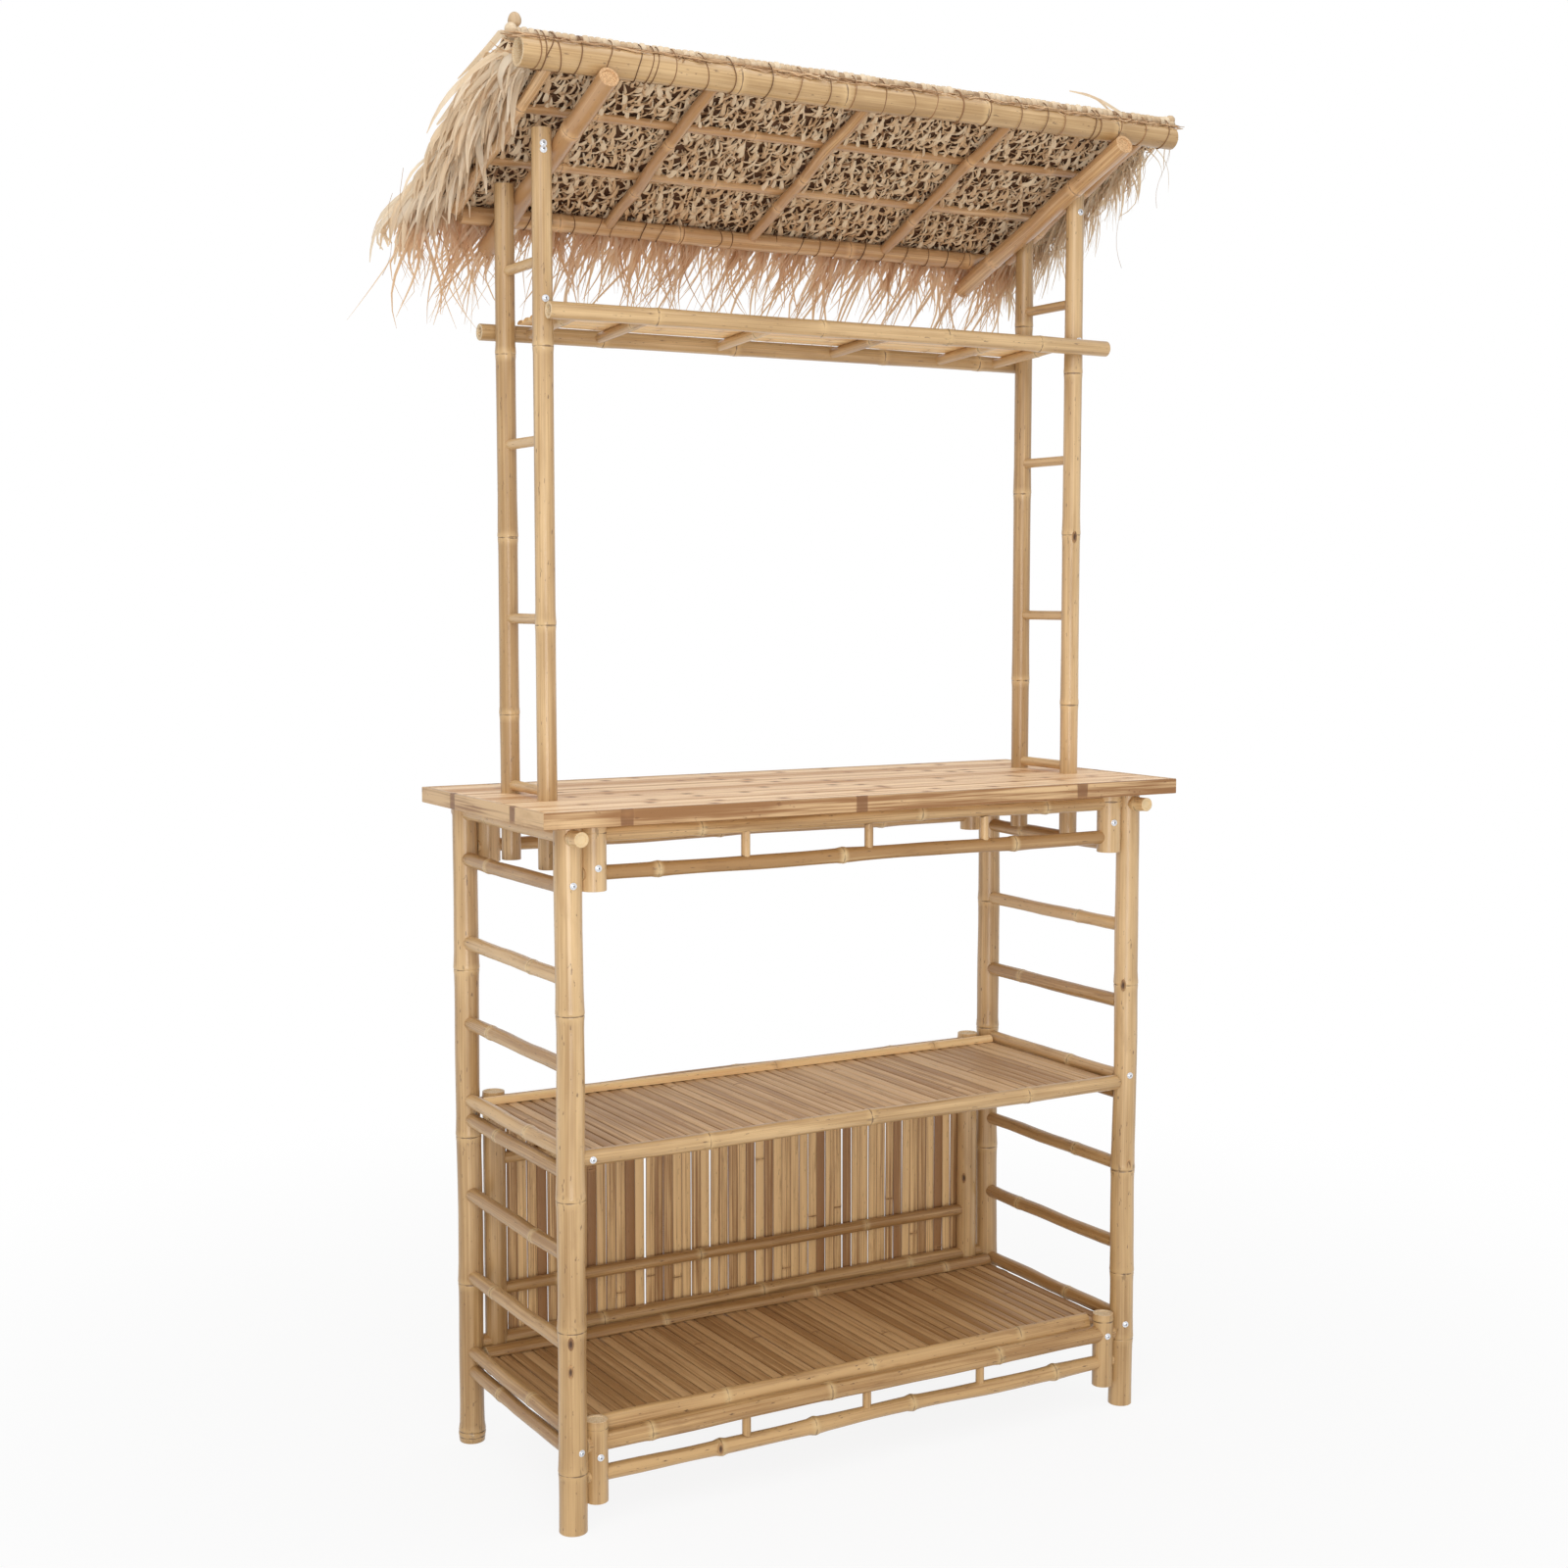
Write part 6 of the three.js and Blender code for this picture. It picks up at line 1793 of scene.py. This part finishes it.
    def _gable(self, side: str, sign: int, plans: Sequence[LeafPlan]) -> None:
        """Makes one gable's leaves: wide blades that point out and down the slope, and thin drooping ones.

        A leaf is a chain of equal lengths. Each turns outwards from the way down the slope by the leaf's
        heading plus a wave, and bends towards the ground more and more towards the tip.

        Args:
            side: Name of the side.
            sign: Minus one for the left, one for the right.
            plans: Its kinds of leaf.
        """
        shop, draw, bunches = self.shop, self.shop.random, self.gable_bunches
        step = np.linspace(0, 1, 8)
        parts = []
        for plan in plans:
            count = plan.count
            bunch = draw.integers(0, bunches, count)
            run = draw.uniform(0.004, self.edge, bunches)[bunch] + draw.normal(0, 0.009, count)
            run = np.clip(run, 0.004, self.edge)
            share = run / self.edge
            piece = (draw.uniform(*plan.lengths, count) * (0.85 + 0.12 * share))[:, None] / 7
            wave = plan.twist * 0.3 * draw.normal(0, 1, count)[:, None]
            wave = wave * np.sin(FULL_TURN * (0.7 * step + draw.random((count, 1))))
            middle, spread = plan.heading
            heading = middle + spread * (0.8 * draw.normal(0, 1, bunches)[bunch] + 0.6 * draw.normal(0, 1, count))
            turn = np.clip(heading * (1.1 - 0.45 * share), -0.15, 1.0)[:, None] + wave
            bend = draw.uniform(*plan.droops, count)[:, None] * step**1.2 + 0.5 * wave
            flat, fall = piece * np.cos(bend), piece * np.sin(bend)
            out, down = flat * np.sin(turn), flat * np.cos(turn)
            ways = sign * out[..., None] * X_AXIS + down[..., None] * self.slope.down() - fall[..., None] * Z_AXIS
            inside = draw.uniform(0.0, 0.05, count)
            level = np.where(inside > 0.016, -0.004, draw.uniform(0, self.thickness, count))
            roots = self.lay(sign * (self.half - inside), run, self.bottom + level)
            paths = self._held(chain(roots, ways))
            paths[..., 0] = np.clip(paths[..., 0], -self.reach, self.reach)
            width = draw.uniform(*plan.widths, count)[:, None] * (1 - 0.85 * step**3)
            ups = unit(np.array([0.5 * sign, -0.7, 0.1]) + 0.5 * draw.normal(0, 1, (count, 3)))
            parts.append(ribbons(paths, ups, width, 0.18, shop.tones(0.62, 0.26, count)))
        shop.show(
            f"thatch_fringe_gable_{side}", Surface.joined(parts), GABLE, "thatch_leaf", [f"thatch_fringe_{side}"],
            sharp=SMOOTH,
        )


@dataclass
class Lashings(RoofPart):
    """The thin dark cords that tie the mat to the ridge and eaves poles."""

    cord: float = 0.0008
    top_radius: float = 0.021  # Half thickness of the ridge pole at its left end
    top_half: float = 0.6  # Half the length over which it tapers
    low_radius: float = 0.014
    # Places of the loops round the ridge pole that cross others
    crossed: Row = (-0.531, -0.523, -0.512, -0.37, -0.362, 0.15, 0.41)

    def _loops(self, places: Array, run: float, radius: Array, rise: float) -> Surface:
        """Closed loops round a pole and over what lies on it.

        A loop follows the circle of the given radius, and where it passes over the top it is lifted by the
        given rise times the positive part of the cosine, so that it goes round the mat's edge too.

        Args:
            places: Where each loop is along the pole.
            run: The pole's distance down the slope.
            radius: Distance of each loop's middle from the pole's axis.
            rise: How much further the loop reaches over the top.

        Returns:
            The loops as strands.
        """
        draw, count = self.shop.random, len(places)
        turn = np.linspace(0, FULL_TURN, 33)
        lift = rise * np.maximum(np.cos(turn), 0) ** 1.5
        x = places[:, None] + draw.normal(0.004, 0.004, count)[:, None] * np.cos(turn)
        x = x + draw.normal(0, 0.0012, count)[:, None] * np.sin(2 * turn)
        paths = self.slope.at(x, run + radius[:, None] * np.sin(turn), radius[:, None] * np.cos(turn) + lift)
        ups, radii = np.tile(X_AXIS, (count, 1)), np.full(x.shape, self.cord)
        return tubes(paths, ups, radii, 6, 1.0, self.shop.tones(0.5, 0.2, count))

    def build(self) -> None:
        """Makes the lashings of both poles."""
        for name, node, span, extra, run, thick, taper, rise in (
            ("ridge", "top", (-0.53, 0.55, 0.049), self.crossed, 0.0, self.top_radius, self.slope.top_taper, 0.0125),
            ("eaves", "lower", (-0.44, 0.44, 0.041), (), self.slope.run, self.low_radius, 0.0, 0.006),
        ):
            places = np.arange(*span)
            places = np.concatenate([places + self.shop.random.normal(0, 0.006, len(places)), extra])
            radius = thick * (1 - taper * (places + self.top_half) / (2 * self.top_half)) + self.cord
            loops = self._loops(places, run, radius, rise)
            self.shop.show(f"lashing_{name}", loops, CORD, "lashing", [f"lashing_{node}"], sharp=SMOOTH)


@dataclass
class Marks(Assembly):
    """Small turned forms that sit on the walls of the poles."""

    name: str
    # For each one the place on its pole's axis, the pole's half thickness and the way it faces, in degrees from the
    # front towards the right
    places: Sequence[Row]
    profile: Sequence[Pair]  # Radius and height of each ring, from the foot to the middle of the head
    finish: LeafFinish | MetalFinish  # Its look
    sides: int  # Points round one
    stretch: float  # Height as a share of width
    sharp: float  # Edges steeper than this many degrees stay sharp

    def build(self) -> None:
        """Makes them all as one piece: the profile turned about the way each one faces, then stretched."""
        spots, ring = np.array(self.places), np.array(self.profile)
        count, rings = len(spots), len(ring)
        turns = np.radians(spots[:, 4])
        ways = np.stack([np.sin(turns), -np.cos(turns), 0 * turns], -1)
        feet = spots[:, :3] + ways * spots[:, 3:4]
        steps = np.linspace(0, 0.01, rings)
        paths = feet[:, None, :] + steps[None, :, None] * ways[:, None, :]
        flat = round_outline(1.0, self.sides) * ring[:, None, :1]
        lift = np.broadcast_to((ring[:, 1] - steps)[:, None, None], (rings, self.sides, 1))
        offsets = np.broadcast_to(np.concatenate([flat, lift], -1), (count, rings, self.sides, 3))
        share = np.linspace(0, 1, rings)[None, :, None]
        values = {"share": share, "tone": self.shop.random.random(count)[:, None, None]}
        along = np.broadcast_to(ring[:, 1], (count, rings))
        made = sweep(paths, np.tile(Z_AXIS, (count, 1)), offsets, True, values, along)
        height = made.points[:, 2].reshape(count, -1)
        made.points[:, 2] = (feet[:, 2:] + (height - feet[:, 2:]) * self.stretch).ravel()
        self.shop.show(self.name, made, self.finish, "culm", sharp=self.sharp)


@dataclass
class Bolts(Marks):
    """The bolts and washers that show on the poles."""

    name: str = "bolts"
    places: Sequence[Row] = (
        (-0.4742, -0.0688, 1.9845, 0.0146, -12), (-0.4742, -0.0688, 1.976, 0.0146, -12),
        (-0.4742, -0.0688, 1.7685, 0.0146, -8), (0.4742, -0.0688, 1.97, 0.0146, 0),
        (0.4742, -0.0688, 1.7635, 0.0146, 0), (-0.5, -0.1948, 0.942, 0.0207, -2),
        (-0.46, -0.1948, 0.9645, 0.0192, -4), (-0.468, -0.1948, 0.5455, 0.0122, -8),
        (-0.5, -0.1948, 0.122, 0.0207, 14), (-0.4625, -0.1948, 0.108, 0.0172, -4),
        (-0.5, 0.1952, 1.02, 0.0196, -30), (0.46, -0.1948, 0.98, 0.0192, -10), (0.5, -0.1948, 0.56, 0.0194, -10),
        (0.4625, -0.1948, 0.125, 0.0172, -10), (0.5, -0.1948, 0.14, 0.0194, -15),
    )
    profile: Sequence[Pair] = (
        (0.0052, -0.0012), (0.0052, 0.0006), (0.0048, 0.0009), (0.0032, 0.0009), (0.0031, 0.0014), (0.0029, 0.0024),
        (0.0022, 0.003), (0.0014, 0.0031), (0.0012, 0.0024), (0.00005, 0.0024),
    )
    finish: MetalFinish = BOLT
    sides: int = 20
    stretch: float = 1.0
    sharp: float = 35.0


@dataclass
class Scars(Marks):
    """The oval branch scars on the poles, with a raised rim and a dark middle."""

    name: str = "branch_scars"
    places: Sequence[Row] = (
        (-0.5, -0.1948, 0.2845, 0.0206, -28), (-0.5, -0.1948, 0.2435, 0.0206, -30),
        (-0.5, -0.1948, 0.496, 0.0206, -60),
        (-0.5, 0.1952, 0.77, 0.0196, -50), (-0.5, 0.1952, 0.27, 0.0196, -20), (0.5, -0.1948, 0.71, 0.0194, -50),
        (0.5, -0.1948, 0.41, 0.0194, -10), (0.457, 0.195, 0.43, 0.0176, -40), (0.457, 0.195, 0.3, 0.0176, -50),
        (-0.4742, -0.0688, 1.297, 0.0146, -60), (0.4742, -0.0688, 1.443, 0.0146, -15),
        (-0.4742, 0.0692, 1.156, 0.0146, -30), (0.4742, 0.0692, 1.193, 0.0146, -40),
        (-0.26, -0.1948, 0.078, 0.0118, -20),
    )
    profile: Sequence[Pair] = (
        (0.0044, -0.0012), (0.0042, 0.0002), (0.0036, 0.0007), (0.0026, 0.0006), (0.0018, 0.0002), (0.00005, 0.0001),
    )
    finish: LeafFinish = SCAR
    sides: int = 16
    stretch: float = 2.3
    sharp: float = 50.0


@dataclass(frozen=True)
class Studio:
    """The camera, the soft lights and the pale floor."""

    place: Triple = (-1.7373, -2.9512, 1.3525)
    lens: float = 49.47  # Its focal length in millimetres on a 36 mm sensor
    tilt: float = 84.9  # Its angle from looking straight down, in degrees
    heading: float = -29.9  # Its turn about the vertical, in degrees
    shift: float = 0.00125  # How far the picture's middle lies to the side, as a share of its width
    sky: float = 0.66  # Strength of the light from all round
    # Name, place, turn in degrees, width and power of each square lamp: a large one at the front left, one overhead,
    # and a low one in front, which reaches under the roof
    lamps: Sequence[tuple[str, Triple, Triple, float, float]] = (
        ("key_lamp", (-2.6, -3.0, 3.4), (62.0, 0.0, -42.0), 2.6, 58.0),
        ("top_lamp", (0.3, -0.6, 4.2), (0.0, 0.0, 0.0), 2.4, 22.0),
        ("front_lamp", (-1.6, -3.4, 0.8), (100.0, 0.0, -26.0), 1.6, 37.0),
    )
    grey: Colour = (0.78, 0.78, 0.78, 1.0)  # Colour of the floor as a light falls on it
    reach: float = 14.0  # Half the floor's width
    drop: float = 0.0005  # How far it lies below the feet

    def build(self) -> None:
        """Sets the camera, the lights and the backdrop."""
        scene = bpy.context.scene
        scene.view_settings.view_transform = "Standard"
        camera = bpy.data.cameras.new("camera")
        camera.lens, camera.sensor_width, camera.sensor_fit = self.lens, 36.0, "HORIZONTAL"
        camera.shift_x = self.shift
        camera.dof.use_dof = False
        scene.camera = self._stand("camera", camera, self.place, (self.tilt, 0.0, self.heading))
        for name, place, turn, size, power in self.lamps:
            lamp = bpy.data.lights.new(name, "AREA")
            lamp.shape, lamp.size, lamp.energy = "SQUARE", size, power
            self._stand(name, lamp, place, turn)
        self._world()
        self._floor()

    def _stand(
        self, name: str, held: bpy.types.ID, place: Row, turn: Row,
    ) -> bpy.types.Object:
        """Puts a camera or a lamp in its place.

        Args:
            name: Name of its object.
            held: The camera or lamp.
            place: Where it is.
            turn: Its turn about each axis in degrees.

        Returns:
            The object that holds it.
        """
        holder = bpy.data.objects.new(name, held)
        holder.location = place
        holder.rotation_euler = tuple(math.radians(angle) for angle in turn)
        bpy.context.scene.collection.objects.link(holder)
        return holder

    def _seen(self, graph: Graph) -> Socket:
        """One where the backdrop is seen directly, in a reflection or through glass, and zero elsewhere."""
        seen = graph.node("ShaderNodeLightPath", output="Is Camera Ray")
        for kind in ("Is Glossy Ray", "Is Transmission Ray"):
            seen = seen.larger(graph.node("ShaderNodeLightPath", output=kind))
        return seen

    def _world(self) -> None:
        """Makes the surroundings white to the camera and softer as a light."""
        graph = Graph(bpy.data.worlds.new("surroundings"), "ShaderNodeOutputWorld")
        seen = self._seen(graph)
        strength = graph.node("ShaderNodeMapRange", {"Value": seen, "To Min": self.sky, "To Max": 1.0})
        bpy.context.scene.world = graph.finish(
            graph.node("ShaderNodeBackground", {"Color": WHITE, "Strength": strength}))

    def _floor(self) -> None:
        """Makes the pale floor, which the camera sees as nearly plain white."""
        graph = Graph(bpy.data.materials.new("studio floor"))
        seen = self._seen(graph)
        matt = graph.node("ShaderNodeBsdfDiffuse", {"Color": self.grey})
        white = graph.node("ShaderNodeEmission", {"Color": WHITE, "Strength": 1.0})
        away = graph.node("ShaderNodeVectorMath", {0: graph.object_place()}, output="Value", operation="LENGTH")
        share = seen * (away.ramp(0.7, 2.4) * 0.12 + 0.88)
        material = graph.finish(graph.node("ShaderNodeMixShader", {0: share, 1: matt, 2: white}))
        mesh = bpy.data.meshes.new("floor")
        corners = [(x * self.reach, y * self.reach, -self.drop) for x, y in ((-1, -1), (1, -1), (1, 1), (-1, 1))]
        mesh.from_pydata(corners, [], [(0, 1, 2, 3)])
        mesh.materials.append(material)
        floor = bpy.data.objects.new("floor", mesh)
        bpy.context.scene.collection.objects.link(floor)


def main() -> None:
    """Builds the finished hut and its studio."""
    logging.basicConfig(level=logging.INFO, format="%(name)s: %(message)s")
    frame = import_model()
    shop = Workshop(frame["nodes"])
    slope = Slope()
    for part in (
        LegFrame(shop), Counter(shop), Rails(shop), Shelves(shop), Uprights(shop), RoofFrame(shop, slope),
        Thatch(shop, slope), Lashings(shop, slope), Bolts(shop), Scars(shop), Studio(),
    ):
        part.build()
    LOG.info("%d pieces", shop.pieces)


if __name__ == "__main__":
    main()
